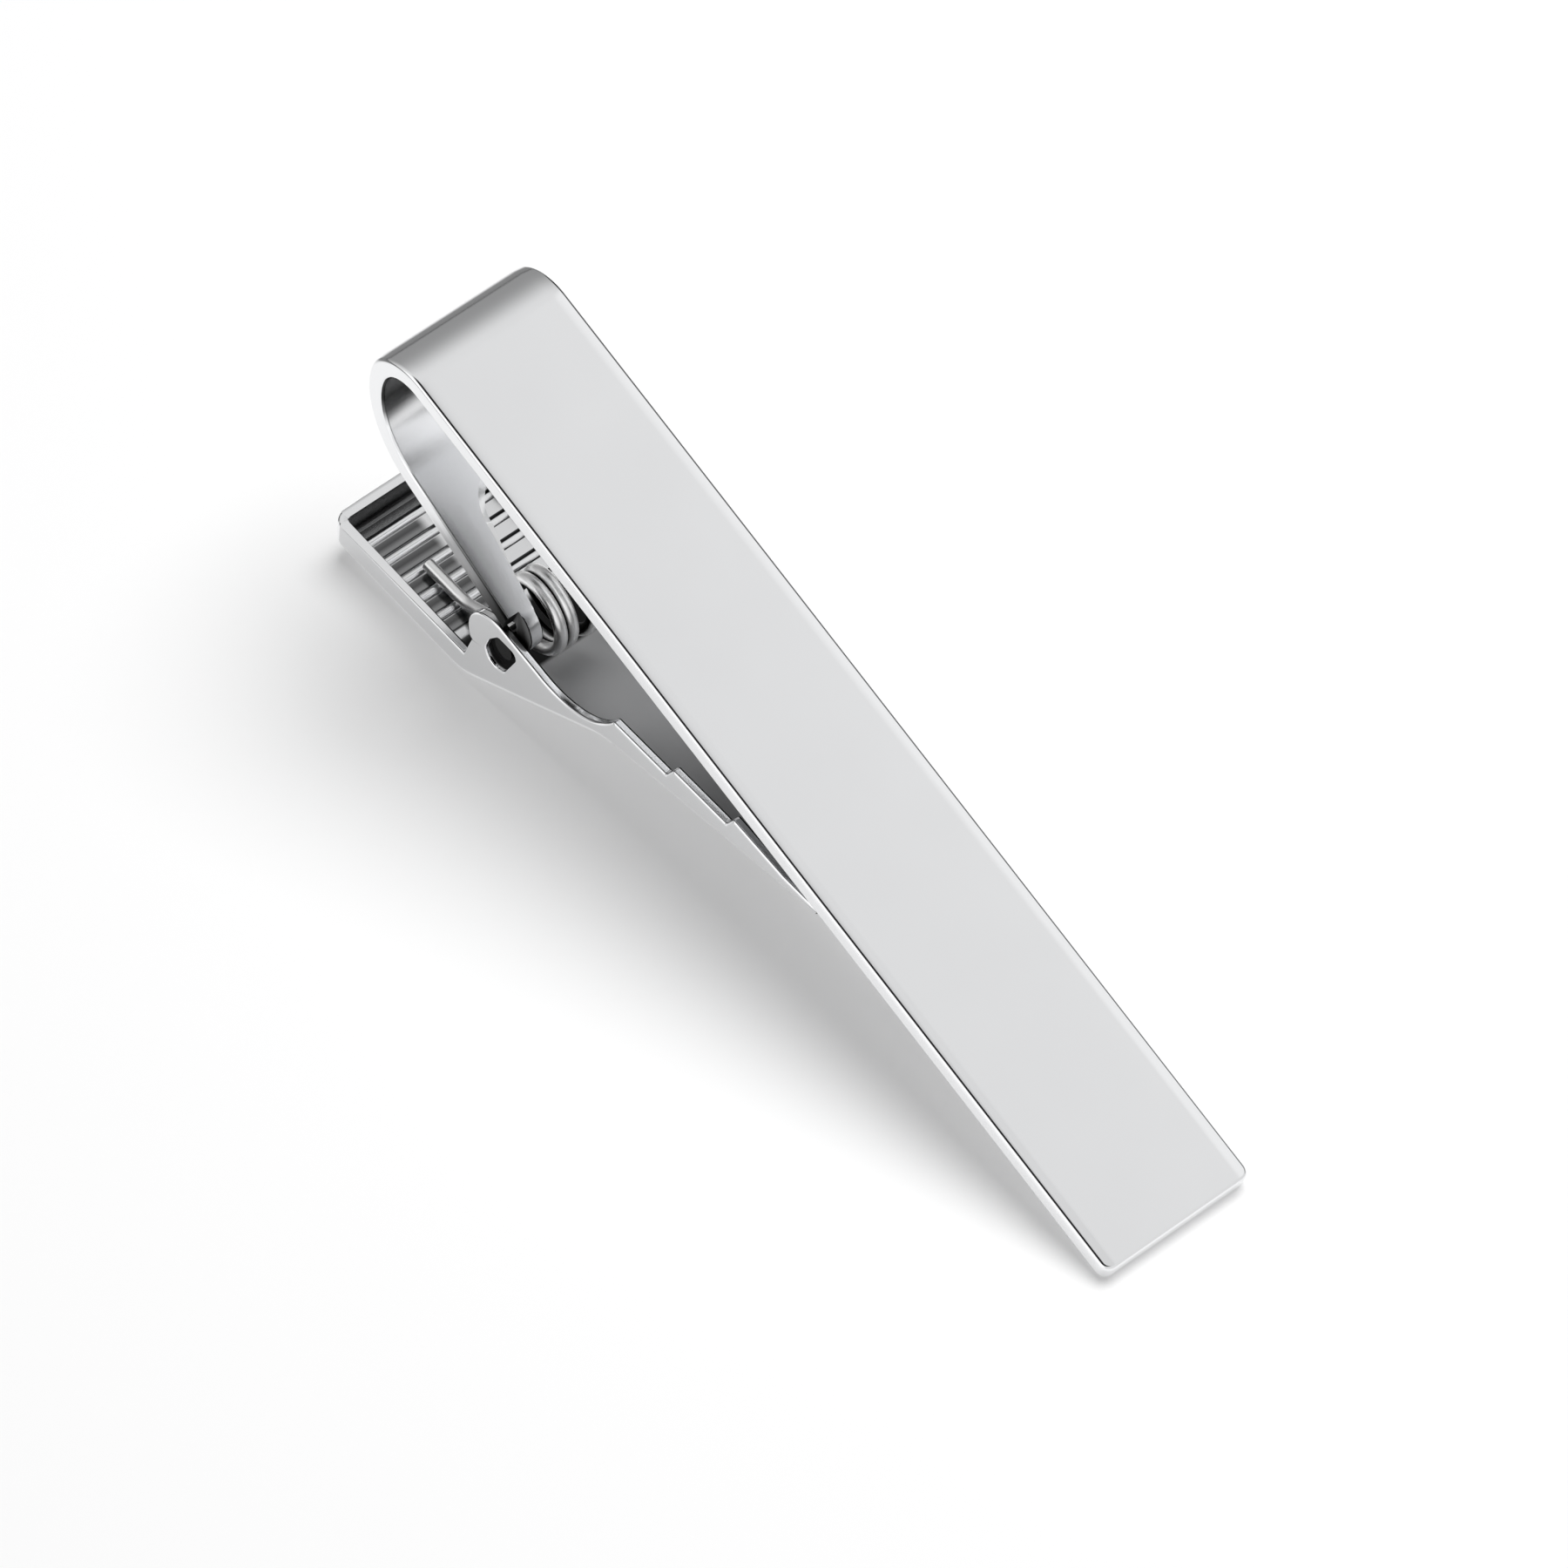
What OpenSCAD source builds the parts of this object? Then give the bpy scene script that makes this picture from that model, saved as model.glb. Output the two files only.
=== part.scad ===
// Tie clip: a bent strip, a folded spring-loaded lever that hinges on the strip's two lugs, and a torsion spring.
// Side outlines are drawn with x from the bend to the tip of the bar and y up, with the bar's front face at 0.
// The finished clip lies as it is put down: on the lever's heel and on the tip, with the front face up.

/* [Front bar] */
// Length of the clip from the bend to the tip
bar_len = 50; // [44:1:58]
// Width of the bar
bar_w = 8; // [7:0.5:10]
// Thickness of the strip
strip_t = 1; // [0.8:0.05:1.1]
// Radius of the two corners at the tip, seen from the front
tip_corner_r = 0.4; // [0.2:0.1:1]
// Outer radius of the upper part of the bend
bend_r = 2.6; // [2.4:0.1:2.8]
// Outer radius of the lower part of the bend, which runs into the return arm
arm_r = 5; // [4.8:0.1:5.2]
// Slope of the return arm away from the bar, in degrees
arm_slope = 10.5; // [9:0.5:12]

/* [Fork and lugs] */
// Distance of the tongues' shoulder from the bend
shoulder_x = 11.33; // [11:0.01:11.6]
// Radius of the tongues' curl at the middle of the strip
curl_r = 1; // [0.8:0.05:1.1]
// Distance from the shoulder forward to the hinge
hinge_ahead = 0.42; // [0.3:0.02:0.6]
// Depth of the hinge below the shoulder
hinge_drop = 2.3; // [2.2:0.05:2.5]
// Width of each tongue
tongue_w = 0.85; // [0.7:0.05:1]
// Radius of the eye at the end of each tongue
eye_r = 0.65; // [0.6:0.01:0.7]
// Radius of the lugs that stand in the ears
lug_r = 0.55; // [0.5:0.01:0.6]
// Depth of the lugs' ends below the outside of the ears
lug_recess = 0.15; // [0.05:0.01:0.2]
// Distance from the bend to the round top of the slot
slot_x = 5.7; // [5.5:0.05:6]
// Radius of the round top of the slot
slot_r = 1.95; // [1.8:0.05:2.1]

/* [Lever] */
// Thickness of the folded sheet
sheet_t = 0.45; // [0.4:0.05:0.5]
// Distance of the lever's sides inside the edges of the bar
side_inset = 0.1; // [0:0.05:0.3]
// Outer radius of the folded lower edges
fold_r = 0.7; // [0.6:0.05:0.75]
// Distance from the hinge back to the heel's corner
heel_back = 0.95; // [0.7:0.05:1.2]
// Depth of the heel's corner below the hinge
heel_drop = 5.15; // [5:0.05:5.3]
// Outer bend radius of the heel
heel_r = 3; // [2.6:0.1:3.4]
// Distance from the hinge forward to the knee of the jaw
knee_ahead = 6.25; // [6:0.05:6.5]
// Height of the knee above the hinge
knee_rise = 2.58; // [2.4:0.02:2.7]
// Outer bend radius of the knee
knee_r = 4; // [3:0.5:6]
// Length of the jaw from the knee to its tip
jaw_len = 14.24; // [13.5:0.01:15]
// Height of the jaw's side at its tip
tip_h = 0.49; // [0.46:0.01:0.6]
// Gap between the jaw's tip and the back of the bar
jaw_gap = 0.06; // [0.04:0.01:0.1]

/* [Thumb pad] */
// Slope of the thumb pad, in degrees
pad_slope = 14.9; // [13:0.1:16]
// Length of the thumb pad from the heel's corner to its end
pad_len = 9; // [8.5:0.1:9.5]
// Height of the pad's rim
rim_h = 1.8; // [1.6:0.05:2]
// Number of ribs pressed across the pad
rib_count = 5; // [3:1:5]
// Distance from rib to rib
rib_pitch = 1.2; // [1.1:0.02:1.24]
// Distance from the end of the pad to the first rib
rib_start = 1.35; // [1.2:0.05:1.45]
// Radius of a rib
rib_r = 0.3; // [0.26:0.01:0.34]
// Depth of a rib
rib_depth = 0.15; // [0.1:0.01:0.18]

/* [Ears and teeth] */
// Radius of the ears' round back
ear_r = 1.8; // [1.7:0.05:1.9]
// Distance of the middle of that round behind the hinge
ear_back = 0.3; // [0.2:0.05:0.4]
// Depth of the middle of that round below the hinge
ear_drop = 0.45; // [0.35:0.05:0.5]
// Distance of the ear's neck behind the hinge
neck_back = 1.5; // [1.3:0.05:1.6]
// Length of the ears' holes below the hinge
hole_drop = 0.7; // [0.6:0.02:0.75]
// Radius of the scoop between the ear and the first tooth
scoop_r = 4.3; // [4.2:0.05:4.4]
// Distance from the hinge forward to the middle of the scoop
scoop_ahead = 2; // [1.9:0.05:2.1]
// Height of the scoop's bottom above the hinge
scoop_rise = 1.5; // [1.45:0.05:1.6]
// Number of teeth on each side of the jaw
tooth_count = 3; // [2:1:3]
// Distance from the knee to the first tooth
tooth_start = 0.96; // [0.8:0.02:1.1]
// Distance from tooth to tooth
tooth_pitch = 3.95; // [3.8:0.05:4]
// Height of the teeth above the underside of the jaw
tooth_h = 2; // [1.9:0.05:2.1]
// Height of the sides at the foot of each tooth
tooth_low = 1.35; // [1.2:0.05:1.45]
// Length of each tooth's steep front
tooth_step = 0.55; // [0.4:0.05:0.7]
// Length of the plain nose ahead of the last tooth
nose_len = 2.26; // [2:0.02:2.6]
// Height of the nose where the last tooth ends
nose_h = 0.92; // [0.8:0.02:1]

/* [Spring] */
// Diameter of the spring wire
wire_d = 0.6; // [0.5:0.02:0.62]
// Radius of the coil at the middle of the wire
coil_r = 1.67; // [1.5:0.01:1.7]
// Whole turns of the coil, besides the part turn between its legs
coil_turns = 2; // [1:1:2]
// Distance from turn to turn
coil_pitch = 1.08; // [1.05:0.01:1.15]
// Distance of the coil's middle behind the hinge
coil_back = 0.25; // [0.15:0.01:0.35]
// Distance of the coil's first turn from the middle of the clip
coil_side = 1.9; // [1.8:0.02:1.95]
// Distance from the bend to the end of the leg under the arm
arm_leg_x = 4.9; // [4.8:0.05:5.2]
// Distance from the heel's corner to the bend in the leg on the pad
foot_back = 2.45; // [2.3:0.05:2.6]
// Length of the foot that lies on the pad
foot_len = 2.6; // [2.2:0.1:3]

/* [Hidden] */
$fn = 96;

// Running clearance of the lugs in the ears
lug_gap = 0.05;
// Clearance between a tongue and the inside of an ear
tongue_gap = 0.1;
// Clearance between the spring's leg and the arm
leg_gap = 0.12;
// Clearance between the spring's foot and the pad's ribs
foot_gap = 0.05;
// Thinning of each face of the strip and of the sheet where they are bent
bend_thinning = 0.01;
// Length by which cuts overrun
over = 1;

function dir(a) = [cos(a), sin(a)];
function up(a) = [-sin(a), cos(a)];
function slope(p, q) = atan2(q[1] - p[1], q[0] - p[0]);

// The return arm: its inner face starts where the lower bend ends
arm_c = [arm_r, -bend_r];
arm_from = arm_c - (arm_r - strip_t) * up(-arm_slope);
function arm_point(x, depth) = arm_from - depth * up(-arm_slope)
    + (x - arm_from[0] + depth * sin(arm_slope)) / cos(arm_slope) * dir(-arm_slope);
shoulder = arm_point(shoulder_x, strip_t / 2);
arm_run = (shoulder - arm_from) * dir(-arm_slope);
curl_c = shoulder - curl_r * up(-arm_slope);
hinge = shoulder + [hinge_ahead, -hinge_drop];
curl_end = slope(curl_c, hinge) + acos(curl_r / norm(hinge - curl_c));
stem_top = curl_c + curl_r * dir(curl_end);

// Widths across the clip
lever_w = bar_w - 2 * side_inset;
tongue_out = lever_w / 2 - sheet_t - tongue_gap;
tongue_in = tongue_out - tongue_w;
lug_out = lever_w / 2 - lug_recess;

// The lever's outer line runs from the end of the pad by the heel and the knee to the tip of the jaw
heel = hinge + [-heel_back, -heel_drop];
knee = hinge + [knee_ahead, knee_rise];
back_slope = slope(heel, knee);
jaw_slope = asin((-strip_t - jaw_gap - knee[1]) / norm([jaw_len, tip_h])) - atan2(tip_h, jaw_len);
heel_t = heel_r * tan((back_slope - pad_slope) / 2);
knee_t = knee_r * tan((back_slope - jaw_slope) / 2);
heel_from = heel - heel_t * dir(pad_slope);
heel_to = heel + heel_t * dir(back_slope);
knee_from = knee - knee_t * dir(back_slope);
knee_to = knee + knee_t * dir(jaw_slope);
heel_c = heel_from + heel_r * up(pad_slope);
knee_c = knee_from - knee_r * up(back_slope);
pad_run = pad_len - heel_t;
pad_end = heel - pad_len * dir(pad_slope);
ear_c = hinge - [ear_back, ear_drop];
scoop_c = hinge + [scoop_ahead, scoop_rise + scoop_r];
neck_x = hinge[0] - neck_back;

// The folded sheet's path, as points on its underside with the slope there
heel_steps = 6;
knee_steps = 4;
sheet_path = concat(
    [[heel_from - sheet_t * dir(pad_slope), pad_slope]],
    [for (i = [0:heel_steps]) let (a = pad_slope + (back_slope - pad_slope) * i / heel_steps)
        [heel_c - heel_r * up(a), a]],
    [for (i = [0:knee_steps]) let (a = back_slope + (jaw_slope - back_slope) * i / knee_steps)
        [knee_c + knee_r * up(a), a]],
    [[knee + jaw_len * dir(jaw_slope), jaw_slope]]);

function jaw_point(along, h) = knee + along * dir(jaw_slope) + h * up(jaw_slope);
function pad_point(along, h) = pad_end + along * dir(pad_slope) + h * up(pad_slope);
function rim_point(x) = pad_point((x - pad_point(0, rim_h)[0]) / cos(pad_slope), rim_h);

// Resting pose: the floor touches the round heel and the lower edge of the bar's tip
tip_edge = [bar_len, -strip_t];
rest_tilt = asin(heel_r / norm(tip_edge - heel_c)) + slope(heel_c, tip_edge);
function rest(p) = [p[0] * cos(rest_tilt) + p[1] * sin(rest_tilt), p[1] * cos(rest_tilt) - p[0] * sin(rest_tilt)];
pad_lean = rest_tilt - pad_slope;
pad_corner = rest(pad_point(fold_r, fold_r));
rest_left = pad_corner[0] - fold_r;
rest_mid = [(rest_left + rest([bar_len, 0])[0]) / 2, rest(heel_c)[1] - heel_r];
function place(p) = rest(p) - rest_mid;

// Spring: the foot on the pad, the coil, and the leg under the arm
coil_c = hinge - [coil_back, 0];
foot_in = heel - foot_back * dir(pad_slope) + (sheet_t + rib_depth + foot_gap + wire_d / 2) * up(pad_slope);
foot_end = foot_in - foot_len * dir(pad_slope);
arm_leg_end = arm_point(arm_leg_x, strip_t + leg_gap + wire_d / 2);
coil_from = slope(coil_c, foot_in) + acos(coil_r / norm(foot_in - coil_c));
coil_to = slope(coil_c, arm_leg_end) - acos(coil_r / norm(arm_leg_end - coil_c)) + 360 * coil_turns;
curl_rings = 8;
wire_sides = 6;
coil_steps = round((coil_to - coil_from) / 360 * curl_rings);
function coil_place(a) = coil_c + coil_r * dir(a);
function coil_across(a) = (a - coil_from) / 360 * coil_pitch - coil_side;
function span(p, y) = [p[0], p[1], -y];
leg_dir = dir(slope(foot_in, coil_place(coil_from)));
wire_path = [
    span(foot_end, -coil_side),
    span(foot_in - wire_d * dir(pad_slope), -coil_side),
    span(foot_in + wire_d / 4 * (leg_dir - dir(pad_slope)), -coil_side),
    span(foot_in + wire_d * leg_dir, -coil_side),
    for (i = [0:coil_steps]) let (a = coil_from + i * (coil_to - coil_from) / coil_steps)
        span(coil_place(a), coil_across(a)),
    span(arm_leg_end, coil_across(coil_to))];
wire_last = len(wire_path) - 1;
function unit(v) = v / norm(v);
function wire_leg(i) = let (k = max(1, min(i, wire_last))) unit(wire_path[k] - wire_path[k - 1]);
function wire_way(i) = unit(wire_leg(i) + wire_leg(i + 1));
function wire_ring(i) = let (t = wire_way(i), u = unit([0, 0, 1] - t[2] * t), v = cross(t, u))
    [for (k = [0:wire_sides - 1]) wire_path[i] + wire_d / 2 * (cos(360 * k / wire_sides) * u
        + sin(360 * k / wire_sides) * v)];

// Least gap of the wire to itself, measured between points at least half a turn apart
wire_gap = min([for (i = [0:wire_last - curl_rings / 2]) for (j = [i + curl_rings / 2:wire_last])
    if (i > 2) norm(wire_path[i] - wire_path[j]) - wire_d]);
echo(wire_gap = wire_gap);

// A side outline stood upright, so that its y becomes the height
module side_view() {
    rotate([90, 0, 0]) children();
}

// An outline in the side view, given a width centred on the clip
module across(w) {
    linear_extrude(w, center = true) children();
}

// The same outline on both sides, from one distance off the middle to another
module both_sides(from, to) {
    for (side = [-1, 1])
        translate([0, 0, side * (from + to) / 2]) across(to - from) children();
}

// The clip turned into its resting pose, with the middle of its footprint at the origin
module resting() {
    translate([-rest_mid[0], 0, -rest_mid[1]]) rotate([0, rest_tilt, 0]) side_view() children();
}

// A place on a path after a bend: to the left for a positive radius and angle, to the right for negative ones
module after(r, a) {
    translate([0, r]) rotate(a) translate([0, -r]) children();
}

// A bend of the strip, drawn on its middle line, with what follows it
module strip_bend(r, a) {
    reach = abs(r) + strip_t;
    half_t = strip_t / 2 - bend_thinning;
    intersection() {
        translate([0, r]) difference() {
            circle(abs(r) + half_t);
            circle(abs(r) - half_t);
        }
        translate([0, r - reach]) square(2 * reach);
        after(r, a) translate([-2 * reach, r - reach]) square(2 * reach);
    }
    after(r, a) children();
}

// A straight stretch of the strip, drawn on its middle line, with what follows it
module strip_run(length) {
    translate([0, -strip_t / 2]) square([length, strip_t]);
    translate([length, 0]) children();
}

// The strip from the start of the bar round the bend to the shoulder of the tongues
module bent_outline() {
    bar_run = bar_len - tip_corner_r - bend_r;
    translate([bar_len - tip_corner_r, -strip_t / 2]) mirror([1, 0]) strip_run(bar_run)
        strip_bend(strip_t / 2 - bend_r, -90) strip_bend(strip_t / 2 - arm_r, arm_slope - 90) strip_run(arm_run);
}

// A tongue: it leaves the arm, curls down and runs straight to its eye at the hinge
module tongue_outline() {
    translate(shoulder - tongue_w * dir(-arm_slope)) rotate(-arm_slope) strip_run(tongue_w)
        strip_bend(-curl_r, curl_end + arm_slope - 90) strip_run(norm(hinge - stem_top));
    translate(hinge) circle(eye_r);
}

// The tip of the bar, with its two round corners
module bar_tip() {
    corner_x = bar_len - tip_corner_r;
    across(bar_w - 2 * tip_corner_r) translate([corner_x, -strip_t]) square([tip_corner_r, strip_t]);
    for (side = [-1, 1])
        translate([corner_x, 0, side * (bar_w / 2 - tip_corner_r)]) rotate([90, 0, 0])
            cylinder(h = strip_t, r = tip_corner_r);
}

// The slot between the tongues, seen square to the bar, cut through the arm alone
module slot() {
    slot_c = slot_x + slot_r;
    translate([0, -strip_t - over, 0]) rotate([90, 0, 0]) linear_extrude(hinge_drop - shoulder[1]) {
        translate([slot_c, 0]) circle(slot_r);
        polygon([[slot_c, -slot_r], [shoulder_x, -tongue_in], [shoulder_x + over, -tongue_in],
            [shoulder_x + over, tongue_in], [shoulder_x, tongue_in], [slot_c, slot_r]]);
    }
}

module front_bar() {
    color("silver") resting() {
        difference() {
            across(bar_w) bent_outline();
            slot();
        }
        bar_tip();
        both_sides(tongue_in, tongue_out) tongue_outline();
        both_sides(tongue_in, lug_out) translate(hinge) circle(lug_r);
    }
}

// A trough's outline across the lever, with round lower corners
module trough(w, h, r) {
    translate([r - w / 2, 0]) square([w - 2 * r, h]);
    translate([-w / 2, r]) square([w, h - r]);
    for (side = [-1, 1])
        translate([side * (w / 2 - r), r]) circle(r);
}

// The thumb pad's block, round along its lower edges and at its end; an inset and an overrun make its hollow
module pad_block(inset, overrun) {
    r = fold_r - inset;
    w = lever_w - 2 * inset;
    length = pad_run - inset + overrun;
    translate(pad_point(inset, inset)) rotate(pad_slope) intersection() {
        rotate([0, 90, 0]) linear_extrude(length) trough(w, rim_h, r);
        across(bar_w) {
            translate([r, 0]) square([length, rim_h]);
            translate([0, r]) square([length, rim_h - r]);
            translate([r, r]) circle(r);
        }
        translate([0, rim_h, 0]) rotate([90, 0, 0]) linear_extrude(rim_h) {
            translate([r, -w / 2]) square([length, w]);
            translate([0, r - w / 2]) square([length, w - 2 * r]);
            for (side = [-1, 1])
                translate([r, side * (w / 2 - r)]) circle(r);
        }
    }
}

module thumb_pad() {
    difference() {
        pad_block(0, 0);
        pad_block(sheet_t, over);
        rib_rods(rib_depth - rib_r, lever_w - 2 * fold_r);
    }
    intersection() {
        rib_rods(sheet_t + rib_depth - rib_r, lever_w - 2 * fold_r);
        translate(pad_point(0, sheet_t / 2)) rotate(pad_slope) across(bar_w) square([pad_len, sheet_t]);
    }
}

// Rods across the pad: what they cut below they add inside
module rib_rods(h, w) {
    for (i = [0:rib_count - 1])
        translate(pad_point(rib_start + i * rib_pitch, h)) cylinder(h = w, r = rib_r, center = true);
}

// The floor of the sheet behind the pad, seen from the side
module floor_outline() {
    last = len(sheet_path) - 1;
    polygon(concat(
        [for (s = sheet_path) s[0] + bend_thinning * up(s[1])],
        [for (i = [last:-1:0]) let (s = sheet_path[i]) s[0] + (sheet_t - bend_thinning) * up(s[1])]));
}

// The upper contour of the lever's sides: rim, ear, scoop and teeth, closed far below
module wall_outline() {
    deep = heel_drop + over;
    difference() {
        polygon([
            pad_end - [over, deep], pad_point(-over, rim_h), rim_point(neck_x), [neck_x, ear_c[1]],
            ear_c + [0, ear_r], [scoop_c[0], scoop_c[1] - scoop_r],
            for (k = [0:tooth_count - 1]) each [
                jaw_point(tooth_start + k * tooth_pitch, tooth_h),
                if (k < tooth_count - 1) jaw_point(tooth_start + (k + 1) * tooth_pitch - tooth_step, tooth_low)],
            jaw_point(jaw_len - nose_len, nose_h), jaw_point(jaw_len, tip_h),
            jaw_point(jaw_len + over, tip_h), jaw_point(jaw_len + over, 0) - [0, deep]]);
        translate(scoop_c) circle(scoop_r);
    }
    translate(ear_c) circle(ear_r);
}

// The sides from the pad to the tip, down to the sheet's underside
module plate_outline() {
    intersection() {
        wall_outline();
        polygon([
            pad_point(pad_run - sheet_t, rim_h / 2), heel_from,
            for (i = [1:len(sheet_path) - 1]) sheet_path[i][0],
            jaw_point(jaw_len, jaw_len), pad_point(pad_run - sheet_t, jaw_len)]);
    }
}

// An ear's hole: a bore for the lug, open below it
module hole_outline() {
    r = lug_r + lug_gap;
    circle(r);
    translate([0, -hole_drop]) circle(r);
    translate([-r, -hole_drop]) square([2 * r, hole_drop]);
}

module clip_lever() {
    color("silver") resting() difference() {
        union() {
            thumb_pad();
            across(lever_w - sheet_t) floor_outline();
            both_sides(lever_w / 2 - sheet_t, lever_w / 2) plate_outline();
        }
        across(bar_w) translate(hinge) hole_outline();
    }
}

module torsion_spring() {
    rings = [for (i = [0:wire_last]) wire_ring(i)];
    n = wire_sides;
    sides = [for (i = [0:wire_last - 1]) for (k = [0:n - 1]) let (a = i * n + k, b = i * n + (k + 1) % n)
        each [[a, b, b + n], [a, b + n, a + n]]];
    ends = [for (k = [1:n - 2]) each [[0, k + 1, k], [wire_last * n, wire_last * n + k, wire_last * n + k + 1]]];
    color("gainsboro") resting() polyhedron(points = [for (r = rings) each r], faces = concat(sides, ends));
}

front_bar();
clip_lever();
torsion_spring();
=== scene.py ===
"""Tie clip: a bent polished bar, a folded sprung lever with a thumb pad and a toothed jaw, and a torsion spring.

Every piece is modelled in millimetres in the bar's own frame, where x runs from the bend to the tip, y runs across
and z is 0 on the front face. It is then laid down in its resting pose, in metres. Points of the side view are
vectors of two numbers, x and z.
"""

import logging
import math
from contextlib import contextmanager
from dataclasses import dataclass
from enum import Enum
from typing import Any, Callable, Iterator, Sequence

import bmesh
import bpy
from mathutils import Matrix, Vector


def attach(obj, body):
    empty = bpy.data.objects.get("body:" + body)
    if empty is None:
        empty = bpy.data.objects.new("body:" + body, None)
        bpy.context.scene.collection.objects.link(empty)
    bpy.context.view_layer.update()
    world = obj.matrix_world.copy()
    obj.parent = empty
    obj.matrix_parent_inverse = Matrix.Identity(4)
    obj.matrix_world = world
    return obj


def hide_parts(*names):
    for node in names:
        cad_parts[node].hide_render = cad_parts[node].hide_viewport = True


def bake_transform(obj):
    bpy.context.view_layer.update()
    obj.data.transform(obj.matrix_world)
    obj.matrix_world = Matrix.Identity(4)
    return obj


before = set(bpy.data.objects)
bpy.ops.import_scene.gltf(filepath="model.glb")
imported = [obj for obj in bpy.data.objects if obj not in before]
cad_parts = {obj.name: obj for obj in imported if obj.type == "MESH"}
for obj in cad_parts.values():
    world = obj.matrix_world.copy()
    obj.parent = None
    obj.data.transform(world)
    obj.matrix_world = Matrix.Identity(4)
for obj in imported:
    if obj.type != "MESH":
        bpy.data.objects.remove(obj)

log = logging.getLogger("tie_clip")

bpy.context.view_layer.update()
MM = 0.001
# Name of the corner attribute that holds each face's painted shade and painted highlight.
PAINTED_LIGHT_ATTRIBUTE = "painted_light"
SNUG = 0.01
FACING = 0.8
ROD_SIDES = 64
WHITE = (1.0, 1.0, 1.0)

Triple = tuple[float, float, float]
Span = tuple[float, float]
Stops = tuple[Span, ...]
EdgeTest = Callable[[Sequence[Vector]], bool]


def heading(slope: float) -> Vector:
    """The unit vector in the side view along a slope given in degrees."""
    return Vector((math.cos(math.radians(slope)), math.sin(math.radians(slope))))


def rising(slope: float) -> Vector:
    """The unit vector in the side view square to a slope, on its upper side."""
    return Vector((-math.sin(math.radians(slope)), math.cos(math.radians(slope))))


def slope_of(start: Vector, end: Vector) -> float:
    """The slope from one point of the side view to another, in degrees."""
    return math.degrees(math.atan2(end.y - start.y, end.x - start.x))


def side_view(place: Vector) -> Vector:
    """A place or direction as the side view shows it."""
    return Vector((place.x, place.z))


def arc(centre: Vector, radius: float, start: float, end: float, steps: int) -> list[Vector]:
    """Points on an arc in the side view.

    Args:
        centre: Middle of the arc.
        radius: Its radius.
        start: Angle of the first point, in degrees.
        end: Angle of the last point, in degrees.
        steps: Number of steps between them.

    Returns:
        The points, the first and the last included.
    """
    return [centre + radius * heading(start + (end - start) * i / steps) for i in range(steps + 1)]


class PaintedLight(float, Enum):
    """Painted light of a face: 0 is open, below 0 a painted highlight, SHADED is painted shade set by its place, more
    is darker painted shade.
    """

    BRIGHT = -1.0
    OPEN = 0.0
    SHADED = 0.5
    INNER_WALL = 0.78
    THIN_LINE = 0.85
    TONGUE_SIDE = 0.86
    EAR_INSIDE = 0.9
    DARK = 0.97
    BLACK = 1.0


class Fold(Enum):
    """How a boolean joins two solids."""

    UNITE = "UNION"
    CUT = "DIFFERENCE"


@dataclass(frozen=True)
class PadSizes:
    """Sizes of the thumb pad, in millimetres."""

    rim_h: float = 1.8
    fold_r: float = 0.7
    rib_count: int = 5
    rib_start: float = 1.35
    rib_pitch: float = 1.2
    rib_r: float = 0.3
    rib_rise: float = 0.15


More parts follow.
